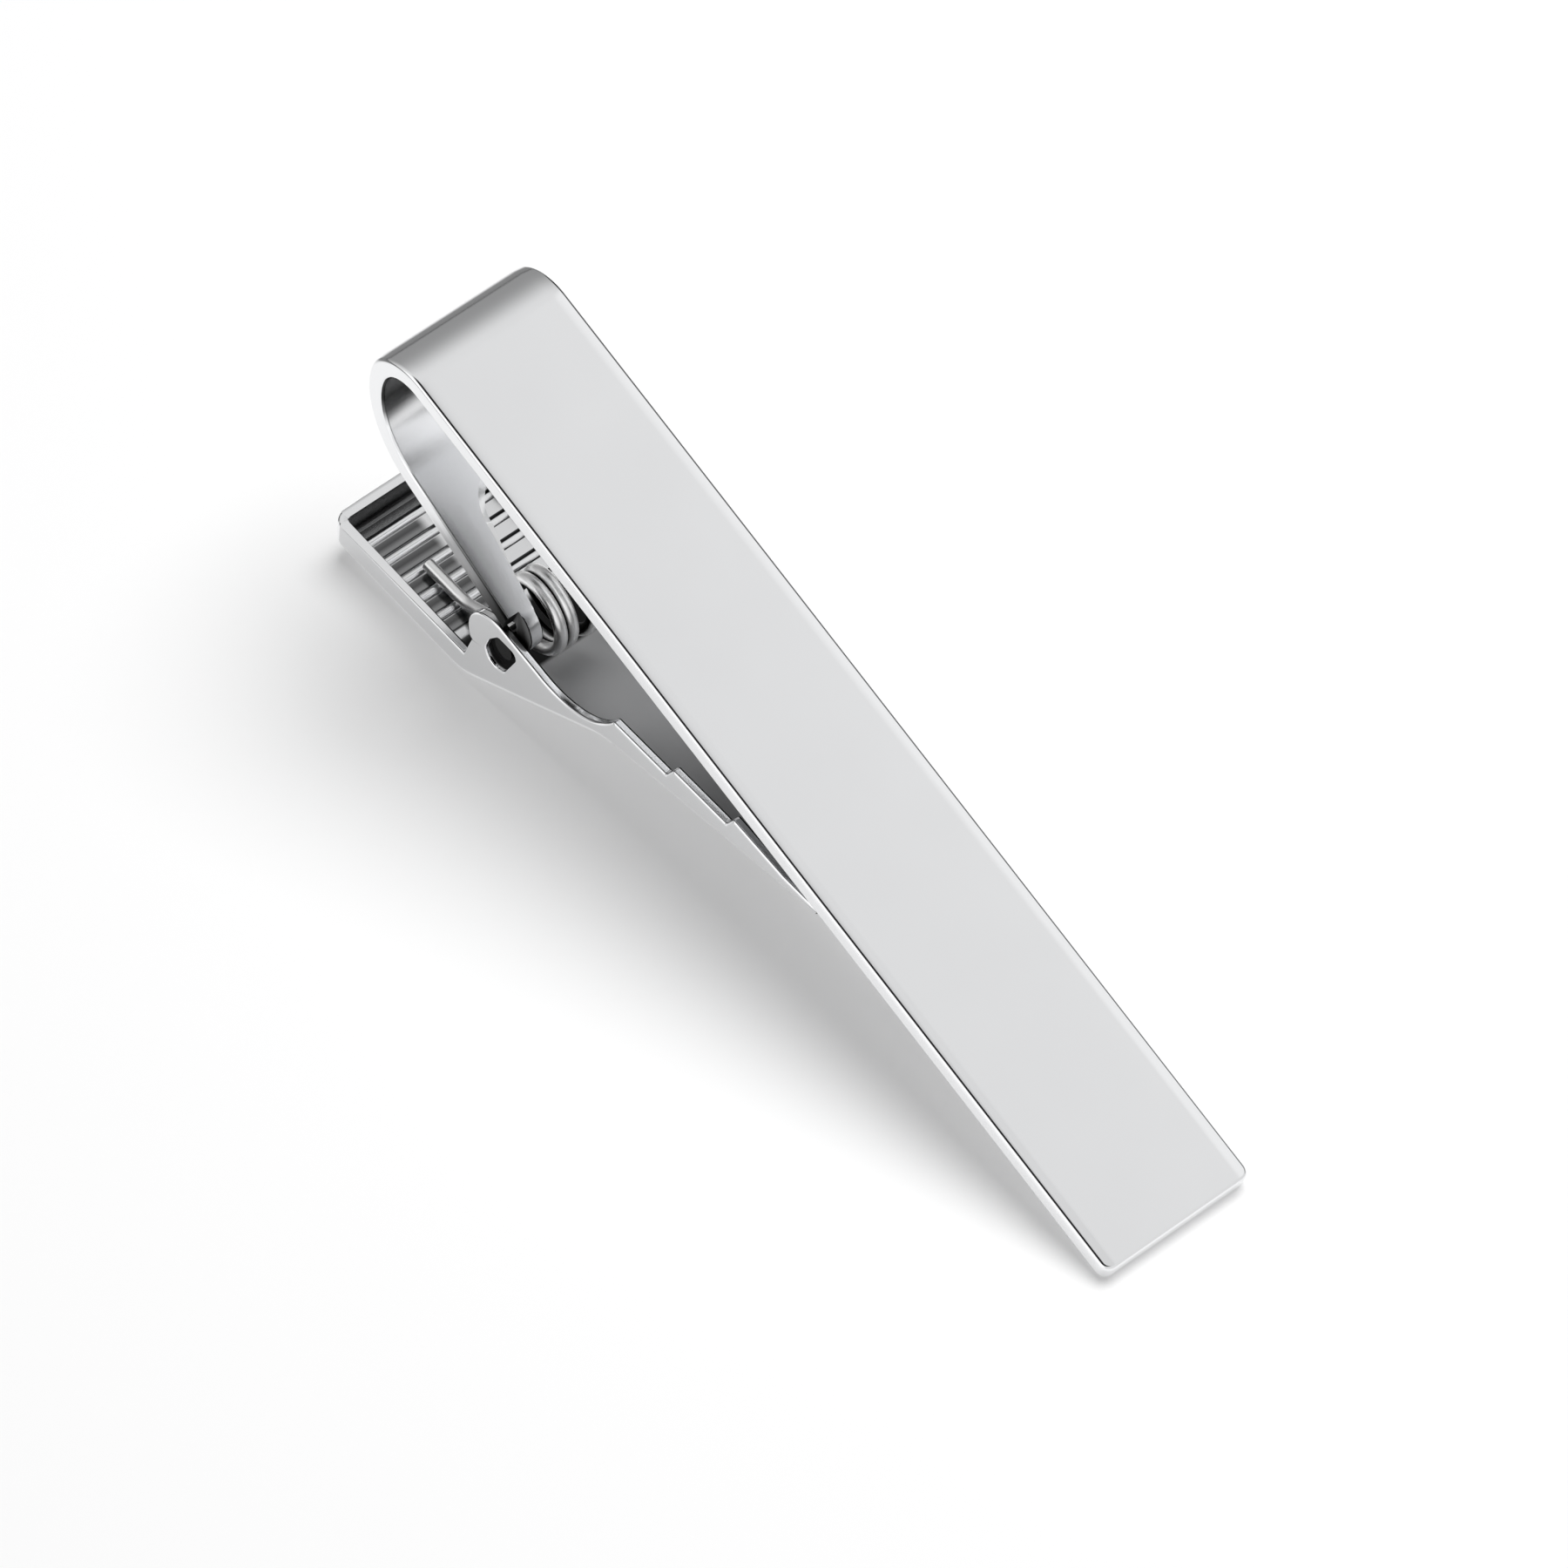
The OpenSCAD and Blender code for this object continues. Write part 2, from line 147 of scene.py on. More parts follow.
@dataclass(frozen=True)
class Layout:
    """The clip's sizes in millimetres and degrees, and the places that follow from them in the bar's frame."""

    bar_len: float = 50.0
    bar_w: float = 8.0
    strip_t: float = 1.0
    bend_r: float = 2.6
    arm_r: float = 5.0
    arm_slope: float = 10.5
    shoulder_x: float = 11.33
    curl_r: float = 1.0
    hinge_ahead: float = 0.42
    hinge_drop: float = 2.3
    tongue_w: float = 0.7
    tongue_gap: float = 0.1
    lever_w: float = 7.8
    sheet_t: float = 0.45
    heel_back: float = 0.95
    heel_drop: float = 5.15
    heel_r: float = 3.0
    knee_ahead: float = 6.25
    knee_rise: float = 2.58
    knee_r: float = 4.0
    jaw_len: float = 14.24
    tip_h: float = 0.49
    jaw_gap: float = 0.06
    pad_slope: float = 14.9
    pad_len: float = 9.0

    @property
    def arm_from(self) -> Vector:
        """Where the arm's inner face starts, at the end of the lower bend."""
        return Vector((self.arm_r, -self.bend_r)) - (self.arm_r - self.strip_t) * rising(-self.arm_slope)

    def arm_point(self, x: float, depth: float) -> Vector:
        """The point of the arm at x that lies a depth below its inner face."""
        start = self.arm_from - depth * rising(-self.arm_slope)
        return start + (x - start.x) / math.cos(math.radians(self.arm_slope)) * heading(-self.arm_slope)

    @property
    def shoulder(self) -> Vector:
        """The middle of the strip where the tongues start."""
        return self.arm_point(self.shoulder_x, self.strip_t / 2)

    @property
    def curl_c(self) -> Vector:
        """The middle of the tongues' curl."""
        return self.shoulder - self.curl_r * rising(-self.arm_slope)

    @property
    def hinge(self) -> Vector:
        """The lever's axis."""
        return self.shoulder + Vector((self.hinge_ahead, -self.hinge_drop))

    @property
    def wall_in(self) -> float:
        """Distance of the inner face of the lever's walls from the middle of the clip."""
        return self.lever_w / 2 - self.sheet_t

    @property
    def tongue_out(self) -> float:
        """Distance of a tongue's outer side from the middle of the clip."""
        return self.wall_in - self.tongue_gap

    @property
    def tongue_in(self) -> float:
        """Distance of a tongue's inner side from the middle of the clip."""
        return self.tongue_out - self.tongue_w

    @property
    def heel(self) -> Vector:
        """The corner where the lines of the pad's and the back's undersides meet."""
        return self.hinge + Vector((-self.heel_back, -self.heel_drop))

    @property
    def knee(self) -> Vector:
        """The corner where the lines of the back's and the jaw's undersides meet."""
        return self.hinge + Vector((self.knee_ahead, self.knee_rise))

    @property
    def back_slope(self) -> float:
        """Slope of the lever's back."""
        return slope_of(self.heel, self.knee)

    @property
    def jaw_slope(self) -> float:
        """Slope of the jaw, which brings its tip to the back of the bar."""
        rise = (-self.strip_t - self.jaw_gap - self.knee.y) / math.hypot(self.jaw_len, self.tip_h)
        return math.degrees(math.asin(rise) - math.atan2(self.tip_h, self.jaw_len))

    @property
    def heel_from(self) -> Vector:
        """Where the heel's bend starts on the pad's underside."""
        reach = self.heel_r * math.tan(math.radians(self.back_slope - self.pad_slope) / 2)
        return self.heel - reach * heading(self.pad_slope)

    @property
    def heel_c(self) -> Vector:
        """The middle of the heel's bend."""
        return self.heel_from + self.heel_r * rising(self.pad_slope)

    @property
    def knee_c(self) -> Vector:
        """The middle of the knee's bend."""
        reach = self.knee_r * math.tan(math.radians(self.back_slope - self.jaw_slope) / 2)
        return self.knee - reach * heading(self.back_slope) - self.knee_r * rising(self.back_slope)

    def pad_point(self, along: float, height: float) -> Vector:
        """A point of the pad, from its end and its underside."""
        end = self.heel - self.pad_len * heading(self.pad_slope)
        return end + along * heading(self.pad_slope) + height * rising(self.pad_slope)

    def jaw_point(self, along: float, height: float) -> Vector:
        """A point of the jaw, from the knee and its underside."""
        return self.knee + along * heading(self.jaw_slope) + height * rising(self.jaw_slope)

    def resting(self) -> Matrix:
        """Works out how the clip lies on the floor, on the lever's heel and the tip of the bar.

        Returns:
            The placement that lays the bar's frame down, in metres.
        """
        tip_edge = Vector((self.bar_len, -self.strip_t))
        reach = (tip_edge - self.heel_c).length
        tilt = math.asin(self.heel_r / reach) + math.radians(slope_of(self.heel_c, tip_edge))
        turn = Matrix.Rotation(tilt, 4, "Y")

        def turned(p: Vector) -> Vector:
            """A point of the side view after the turn."""
            return side_view(turn @ Vector((p.x, 0, p.y)))

        fold_r = PadSizes().fold_r
        left = turned(self.pad_point(fold_r, fold_r)).x - fold_r
        right = turned(Vector((self.bar_len, 0))).x
        low = turned(self.heel_c).y - self.heel_r
        shift = Matrix.Translation((-(left + right) / 2, 0, -low))
        return Matrix.Scale(MM, 4) @ shift @ turn


@dataclass(frozen=True)
class Bench:
    """The modelling tools that every piece uses, and the placement that lays finished pieces down."""

    placement: Matrix
    merge_within: float = 0.002
    flat_below: float = math.radians(0.2)
    sharp_above: float = math.radians(32)

    @staticmethod
    def pick(piece: bpy.types.Object) -> None:
        """Makes one object the only selected and active one.

        Args:
            piece: The object.
        """
        bpy.ops.object.select_all(action="DESELECT")
        piece.select_set(True)
        bpy.context.view_layer.objects.active = piece

    @contextmanager
    def editing(self, piece: bpy.types.Object) -> Iterator[None]:
        """Opens a piece in edit mode, all selected, for the operators of a with block.

        Args:
            piece: The object.

        Returns:
            The context, which leaves edit mode at its end.
        """
        self.pick(piece)
        bpy.ops.object.mode_set(mode="EDIT")
        bpy.ops.mesh.select_all(action="SELECT")
        yield
        bpy.ops.object.mode_set(mode="OBJECT")

    @staticmethod
    def choose(piece: bpy.types.Object, wanted: EdgeTest, least_angle: float) -> int:
        """Selects the edges of an edited mesh that a test accepts, and nothing else.

        Args:
            piece: The object, in edit mode.
            wanted: The test, on an edge's two ends.
            least_angle: The least angle between an edge's faces.

        Returns:
            How many were selected.
        """
        bpy.ops.mesh.select_mode(type="EDGE")
        bpy.ops.mesh.select_all(action="DESELECT")
        mesh = bmesh.from_edit_mesh(piece.data)
        found = [
            edge
            for edge in mesh.edges
            if abs(edge.calc_face_angle(0.0)) >= least_angle and wanted([v.co for v in edge.verts])
        ]
        for edge in found:
            edge.select_set(True)
        mesh.select_flush_mode()
        bmesh.update_edit_mesh(piece.data)
        return len(found)

    @staticmethod
    def face_outwards() -> None:
        """Turns all faces of the edited solid outwards."""
        bpy.ops.mesh.select_all(action="SELECT")
        bpy.ops.mesh.normals_make_consistent(inside=False)

    def prism(
        self, name: str, outline: Sequence[Vector], low: float, high: float, between: Sequence[float] = ()
    ) -> bpy.types.Object:
        """A solid with the given outline in the side view.

        Args:
            name: Name of the new object.
            outline: The outline's points.
            low: Its lowest y.
            high: Its highest y.
            between: Where more rings of vertices run round it, from low to high.

        Returns:
            The solid, with its faces pointing outwards.
        """
        bpy.ops.mesh.primitive_circle_add(vertices=len(outline), fill_type="NGON")
        piece = bpy.context.object
        piece.name = name
        for vertex, point in zip(piece.data.vertices, outline):
            vertex.co = (point.x, low, point.y)
        with self.editing(piece):
            for start, end in zip((low, *between), (*between, high)):
                bpy.ops.mesh.extrude_region_move(TRANSFORM_OT_translate={"value": (0, end - start, 0)})
            self.face_outwards()
        return piece

    def rod(self, name: str, centre: Vector, radius: float, low: float, high: float) -> bpy.types.Object:
        """A round rod across the clip, as a prism with many sides."""
        return self.prism(name, arc(centre, radius, 0, 360, ROD_SIDES)[:-1], low, high)

    def unite(self, base: bpy.types.Object, tool: bpy.types.Object, how: Fold) -> None:
        """Joins a tool to a base solid or cuts it away, and removes the tool.

        Args:
            base: The solid that is kept.
            tool: The solid that is used up.
            how: Whether it is joined or cut away.
        """
        self.pick(base)
        fold = base.modifiers.new("fold", "BOOLEAN")
        fold.operation, fold.solver, fold.object = how.value, "EXACT", tool
        bpy.ops.object.modifier_apply(modifier=fold.name)
        bpy.data.objects.remove(tool, do_unlink=True)

    @staticmethod
    def paint_light(piece: bpy.types.Object, depth: Callable[[Vector, Vector], float], smooth: bool = False) -> None:
        """Writes the painted shade or highlight mark of each corner of each face, for the finish to read.

        Args:
            piece: The object, still in the bar's frame.
            depth: Gives the painted light mark from a corner's place and its face's normal.
            smooth: Whether depth gets the corner's own normal, for a piece that is round all over.
        """
        mesh = piece.data
        layer = mesh.attributes.new(PAINTED_LIGHT_ATTRIBUTE, "FLOAT", "CORNER")
        for face in mesh.polygons:
            for i in face.loop_indices:
                corner = mesh.vertices[mesh.loops[i].vertex_index]
                layer.data[i].value = depth(corner.co, corner.normal if smooth else face.normal)

    def round_edges(
        self, piece: bpy.types.Object, width: float, segments: int, wanted: EdgeTest, least_angle: float = 0.0
    ) -> None:
        """Rounds the edges that a test accepts.

        Args:
            piece: The object.
            width: Radius of the rounding.
            segments: Number of steps round it.
            wanted: The test, on an edge's two ends.
            least_angle: The least angle between an edge's faces.
        """
        with self.editing(piece):
            if self.choose(piece, wanted, least_angle):
                bpy.ops.mesh.bevel(offset=width, segments=segments, affect="EDGES", clamp_overlap=False)

    def ease(self, piece: bpy.types.Object, width: float, segments: int, wanted: EdgeTest) -> None:
        """Rounds the sharp edges that a test accepts, with the arguments of round_edges."""
        self.round_edges(piece, width, segments, wanted, self.sharp_above)

    def tidy(self, piece: bpy.types.Object) -> None:
        """Merges doubled vertices and melts the edges that lie inside flat faces.

        Args:
            piece: The object.
        """
        with self.editing(piece):
            bpy.ops.mesh.remove_doubles(threshold=self.merge_within)
            bpy.ops.mesh.dissolve_limited(angle_limit=self.flat_below)

    def shade(self, piece: bpy.types.Object, angle: float = 40.0) -> None:
        """Shades a piece smooth below an angle, with flat faces kept flat.

        Args:
            piece: The object.
            angle: The angle, in degrees.
        """
        self.pick(piece)
        bpy.ops.object.shade_smooth_by_angle(angle=math.radians(angle), keep_sharp_edges=True)
        weigh = piece.modifiers.new("weigh", "WEIGHTED_NORMAL")
        weigh.keep_sharp = True
        bpy.ops.object.modifier_apply(modifier=weigh.name)

    def lay_down(self, piece: bpy.types.Object) -> bpy.types.Object:
        """Puts a finished piece in its resting place, which goes into its mesh, and reports it.

        Args:
            piece: The piece, in the bar's frame.

        Returns:
            The same piece.
        """
        self.pick(piece)
        piece.matrix_world = self.placement
        bpy.ops.object.transform_apply(location=True, rotation=True, scale=True)
        log.info("%s: %d faces", piece.name, len(piece.data.polygons))
        return piece


class Signal:
    """One shader socket, with the operators that add Math nodes."""

    def __init__(self, shop: "Shader", socket: bpy.types.NodeSocket) -> None:
        """Keeps the socket and the shader that it belongs to."""
        self.shop, self.socket = shop, socket

    def _math(self, operation: str, first: Any, second: Any) -> "Signal":
        """A Math node on two operands."""
        return self.shop.node("ShaderNodeMath", {"operation": operation}, {0: first, 1: second})

    def __add__(self, other: Any) -> "Signal":
        """The sum."""
        return self._math("ADD", self, other)

    __radd__ = __add__

    def __mul__(self, other: Any) -> "Signal":
        """The product."""
        return self._math("MULTIPLY", self, other)

    __rmul__ = __mul__

    def __sub__(self, other: Any) -> "Signal":
        """The difference."""
        return self._math("SUBTRACT", self, other)

    def __rsub__(self, other: Any) -> "Signal":
        """The difference from a number."""
        return self._math("SUBTRACT", other, self)

    def __truediv__(self, other: Any) -> "Signal":
        """The quotient."""
        return self._math("DIVIDE", self, other)

    def at_least(self, other: Any) -> "Signal":
        """The larger of the two."""
        return self._math("MAXIMUM", self, other)


class Shader:
    """A node tree that is filled by one method."""

    def __init__(self, tree: bpy.types.NodeTree) -> None:
        """Empties the tree."""
        self.tree = tree
        tree.nodes.clear()

    def node(
        self, kind: str, settings: dict[str, Any] | None = None, inputs: dict[Any, Any] | None = None, out: Any = 0
    ) -> Signal:
        """Adds a node.

        Args:
            kind: The node's type.
            settings: Its properties, set first. "stops" gives a ramp's positions and greys.
            inputs: Values or links of its sockets, by name or number.
            out: The output to return, by name or number.

        Returns:
            That output.
        """
        node = self.tree.nodes.new(kind)
        for name, value in (settings or {}).items():
            if name == "stops":
                self._stops(node.color_ramp, value)
            else:
                setattr(node, name, value)
        for name, value in (inputs or {}).items():
            if isinstance(value, Signal):
                self.tree.links.new(value.socket, node.inputs[name])
            else:
                node.inputs[name].default_value = value
        return Signal(self, node.outputs[out] if len(node.outputs) else None)

    @staticmethod
    def _stops(ramp: bpy.types.ColorRamp, stops: Stops) -> None:
        """Fills a ramp with greys.

        Args:
            ramp: The ramp.
            stops: Its places and greys, in order.
        """
        for i, (place, grey) in enumerate(stops):
            stop = ramp.elements[i] if i < len(ramp.elements) else ramp.elements.new(place)
            stop.position, stop.color = place, (grey, grey, grey, 1)

    def step(self, value: Signal, start: float, end: float, low: float = 0.0, high: float = 1.0) -> Signal:
        """A smooth step from one level to another as a value goes from start to end, in either direction.

        Args:
            value: The value.
            start: Where the step starts.
            end: Where it ends.
            low: The level at its start.
            high: The level at its end.

        Returns:
            The level.
        """
        return self.node(
            "ShaderNodeMapRange",
            {"interpolation_type": "SMOOTHSTEP"},
            {"Value": value, "From Min": start, "From Max": end, "To Min": low, "To Max": high},
        )

    def ramp(self, value: Signal, start: float, end: float, stops: Stops) -> Signal:
        """A level that follows stops, whose places go from 0 at start to 1 at end."""
        share = (value - start) / (end - start)
        return self.node("ShaderNodeValToRGB", {"stops": stops}, {"Fac": share})

    def mix(self, share: Signal, first: Any, second: Any) -> Signal:
        """Mixes two colours.

        Args:
            share: How far to go from the first to the second, below 0 for beyond the first.
            first: The first colour.
            second: The second colour.

        Returns:
            The mixed colour.
        """
        return self.node(
            "ShaderNodeMix",
            {"data_type": "RGBA", "clamp_factor": False},
            {"Factor": share, "A": first, "B": second},
            out="Result",
        )

    def axis(self, vector: Signal, name: str) -> Signal:
        """One part of a vector."""
        return self.node("ShaderNodeSeparateXYZ", inputs={"Vector": vector}, out=name)

    def noise(self, vector: Signal, scale: float, detail: float) -> Signal:
        """A soft random level."""
        return self.node("ShaderNodeTexNoise", inputs={"Vector": vector, "Scale": scale, "Detail": detail})

    def ray(self, kind: str) -> Signal:
        """1 for rays of a kind, such as Camera or Glossy."""
        return self.node("ShaderNodeLightPath", out=f"Is {kind} Ray")


@dataclass(frozen=True)
class Spot:
    """A place of a piece as its shader sees it: its painted light mark, and its x, y and z in the bar's frame in mm.
    """

    shader: Shader
    marked: Signal
    x: Signal
    y: Signal
    z: Signal

    @property
    def shaded(self) -> Signal:
        """1 on faces that get painted shade by their place, and on darker ones."""
        return self.shader.step(self.marked, 0.2, PaintedLight.SHADED)

    @property
    def darkened(self) -> Signal:
        """The painted shade that the mark alone gives."""
        return self.shader.step(self.marked, PaintedLight.SHADED, PaintedLight.BLACK)

    @property
    def aside(self) -> Signal:
        """Distance from the middle of the clip."""
        return self.y.at_least(0 - self.y)

    def hazed(self, roughness: Any) -> Signal:
        """A roughness on marked faces only."""
        return self.shader.step(self.marked, 0.1, PaintedLight.SHADED) * roughness


@dataclass(frozen=True)
class MetalFinish:
    """A plated and polished metal: its colour, its gloss, the fine marks that polishing leaves, and painted shade and
    highlight from each face's marks.
    """

    name: str
    layout: Layout
    colour: Triple = (0.9, 0.905, 0.915)
    dull_colour: Triple = (0.87, 0.875, 0.885)
    painted_shade_colour: Triple = (0.003, 0.003, 0.003)
    # Colour of full painted shade.
    roughness: float = 0.14
    roughness_spread: float = 0.05
    deep_roughness: float = 0.5
    grain: Triple = (60.0, 900.0, 900.0)
    grain_scale: float = 8.0
    grain_detail: float = 3.0
    cloud_scale: float = 260.0
    cloud_detail: float = 2.0
    scratch_share: float = 0.02
    scratch_height: float = 0.00002

    def painted_shade(self, spot: Spot) -> Signal:
        """How much painted shade a place gets: 1 for black, 0 for the plate's colour, less for a painted highlight
        brighter than it.
        """
        return spot.marked

    def haze(self, spot: Spot) -> Signal:
        """What the marks add to the roughness."""
        return spot.hazed(self.deep_roughness)

    def make(self) -> bpy.types.Material:
        """Builds the material on the piece's own coordinates.

        Returns:
            The material.
        """
        material = bpy.data.materials.new(self.name)
        material.use_nodes = True
        shader = Shader(material.node_tree)
        place = shader.node("ShaderNodeTexCoord", out="Object")
        drawn = shader.node("ShaderNodeMapping", inputs={"Vector": place, "Scale": self.grain})
        hair = shader.noise(drawn, self.grain_scale, self.grain_detail)
        cloud = shader.noise(place, self.cloud_scale, self.cloud_detail)
        shift, turn, scale = self.layout.resting().inverted().decompose()
        to_bar = {"Vector": place, "Location": shift, "Rotation": turn.to_euler(), "Scale": scale}
        on_bar = shader.node("ShaderNodeMapping", inputs=to_bar)
        mark = shader.node("ShaderNodeAttribute", {"attribute_name": PAINTED_LIGHT_ATTRIBUTE}, out="Fac")
        spot = Spot(shader, mark, *(shader.axis(on_bar, name) for name in "XYZ"))
        clean = shader.mix(cloud, (*self.colour, 1), (*self.dull_colour, 1))
        # Painted light: the plate's colour goes to black for painted shade and beyond it for a painted highlight.
        colour = shader.mix(self.painted_shade(spot), clean, (*self.painted_shade_colour, 1))
        polish = self.roughness + self.roughness_spread * (hair * 0.5 + cloud * 0.5 - 0.5)
        bump = {"Strength": self.scratch_share, "Distance": self.scratch_height, "Height": hair}
        marks = shader.node("ShaderNodeBump", inputs=bump, out="Normal")
        sockets = {"Base Color": colour, "Metallic": 1.0, "Roughness": polish + self.haze(spot), "Normal": marks}
        metal = shader.node("ShaderNodeBsdfPrincipled", inputs=sockets)
        shader.node("ShaderNodeOutputMaterial", inputs={"Surface": metal})
        return material


@dataclass(frozen=True)
class BarFinish(MetalFinish):
    """The bar's plate, with painted shade inside the loop and along the near side of the arm."""

    deep_roughness: float = 0.08
    side_roughness: float = 0.4
    side_marks: Span = (0.6, 0.8)
    # Painted shade inside the loop and along the near side of the arm.
    loop_x: Span = (3.4, 2.6)
    loop_z: Span = (-5.4, -2.0)
    loop_shade_fall: Stops = ((0.0, 0.0), (0.08, 0.25), (0.2, 0.8), (0.4, 0.97), (1.0, 1.0))
    arm_x: Span = (4.2, 7.5)
    arm_z: Span = (-6.0, -6.6)
    side_y: Span = (1.8, 4.0)
    side_shade_fall: Stops = ((0.0, 0.0), (0.4, 0.0), (0.75, 0.2), (1.0, 0.64))
    # How far the painted highlight goes beyond the plate's colour.
    lift: float = 0.1

    def haze(self, spot: Spot) -> Signal:
        """A little more roughness on the strip's inside, much more on the tongues' sides."""
        side = spot.shader.step(spot.marked, *self.side_marks) * self.side_roughness
        return spot.hazed(self.deep_roughness) + side

    def painted_shade(self, spot: Spot) -> Signal:
        """Paints shade on the strip's inside: the loop and the arm, with a little painted highlight on the underside
        of the front.

        Args:
            spot: The place.

        Returns:
            Its darkness.
        """
        shader = spot.shader
        loop = shader.ramp(spot.z, *self.loop_z, self.loop_shade_fall) * shader.step(spot.x, *self.loop_x)
        side = shader.ramp(spot.aside, *self.side_y, self.side_shade_fall)
        arm = shader.step(spot.x, *self.arm_x) * shader.step(spot.z, *self.arm_z) * side
        level = loop.at_least(arm) * (1 + self.lift) - self.lift
        return level * spot.shaded * (1 - spot.darkened) + spot.darkened


@dataclass(frozen=True)
class LeverFinish(MetalFinish):
    """The lever's plate, with painted bright bands on the ribs, and painted shade on the tray and in the channel."""

    pad: PadSizes = PadSizes()
    tray_roughness: float = 0.06
    # How far the painted highlight goes beyond the plate's colour.
    lift: float = 0.1
    tray_end: Span = (7.4, 8.0)
    first_rib: Span = (1.2, 1.25)
    phase_shift: float = 0.25
    # Painted shade and painted highlight across each rib, by its phase.
    painted_bands: Stops = (
        (0.0, 0.9), (0.06, 0.97), (0.12, 0.3), (0.17, 0.0), (0.44, 0.0), (0.52, 0.84), (0.72, 0.9), (0.9, 0.72)
    )
    painted_lines: Stops = ((0.0, 0.0), (0.02, 0.99), (0.2, 0.99), (0.24, 0.0), (0.5, -0.1), (1.0, -0.1))
    end_shade_fall: Stops = (
        (0.0, 0.97), (0.15, 0.99), (0.3, 0.97), (0.45, 0.84), (0.6, 0.5), (0.75, 0.2), (0.9, 0.4), (1.0, 0.1)
    )
    end_from: float = 0.15
    far_half: Span = (-0.6, 0.0)
    jaw_fade: tuple[float, float, float, float] = (14.5, 25.0, 0.04, 0.6)
    jaw_root: Span = (12.9, 12.6)
    jaw_root_shade: float = 0.92
    wall_edge: Span = (0.03, 0.005)
    wall_shade: float = 0.28

    def _on_tray(self, spot: Spot, low: float = 1.0, high: float = 0.0) -> Signal:
        """One level on the tray and another in the channel."""
        return spot.shader.step(self._along(spot), *self.tray_end, low, high)

    def _along(self, spot: Spot) -> Signal:
        """Distance from the pad's end, along the pad."""
        end, way = self.layout.pad_point(0, 0), heading(self.layout.pad_slope)
        return (spot.x - end.x) * way.x + (spot.z - end.y) * way.y

    def haze(self, spot: Spot) -> Signal:
        """More roughness in the channel than on the tray."""
        return spot.hazed(self._on_tray(spot, self.tray_roughness, self.deep_roughness))

    def painted_shade(self, spot: Spot) -> Signal:
        """Paints light and dark bands on the tray by its ribs, painted thin lines on its far half, and painted shade
        down the channel to the tip and on the outer walls.

        Args:
            spot: The place.

        Returns:
            Its darkness.
        """
        shader, along, half_w = spot.shader, self._along(spot), self.layout.lever_w / 2
        turns = (along - self.pad.rib_start) / self.pad.rib_pitch
        phase = shader.node("ShaderNodeMath", {"operation": "FRACT"}, {0: turns + self.phase_shift})
        beyond = shader.step(spot.y, *self.far_half)
        ribbed = shader.ramp(phase, 0.0, 1.0, self.painted_bands) * (1 - beyond)
        ribbed = ribbed + shader.ramp(phase, 0.0, 1.0, self.painted_lines) * beyond
        ribs = shader.step(along, *self.first_rib)
        tray = (ribbed * (1 + self.lift) - self.lift) * ribs
        tray = tray + shader.ramp(along, self.end_from, self.first_rib[0], self.end_shade_fall) * (1 - ribs)
        jaw = shader.step(spot.x, *self.jaw_fade) + shader.step(spot.x, *self.jaw_root) * self.jaw_root_shade
        shaded = tray * self._on_tray(spot) + jaw * self._on_tray(spot, 0.0, 1.0)
        wall = shader.step(spot.aside, *(half_w - inset for inset in self.wall_edge)) * self.wall_shade
        dark = (shaded * spot.shaded).at_least(spot.darkened).at_least(wall)
        # Faces marked as painted highlight come out brighter than the plate.
        return dark - shader.step(spot.marked, PaintedLight.OPEN, PaintedLight.BRIGHT) * self.lift


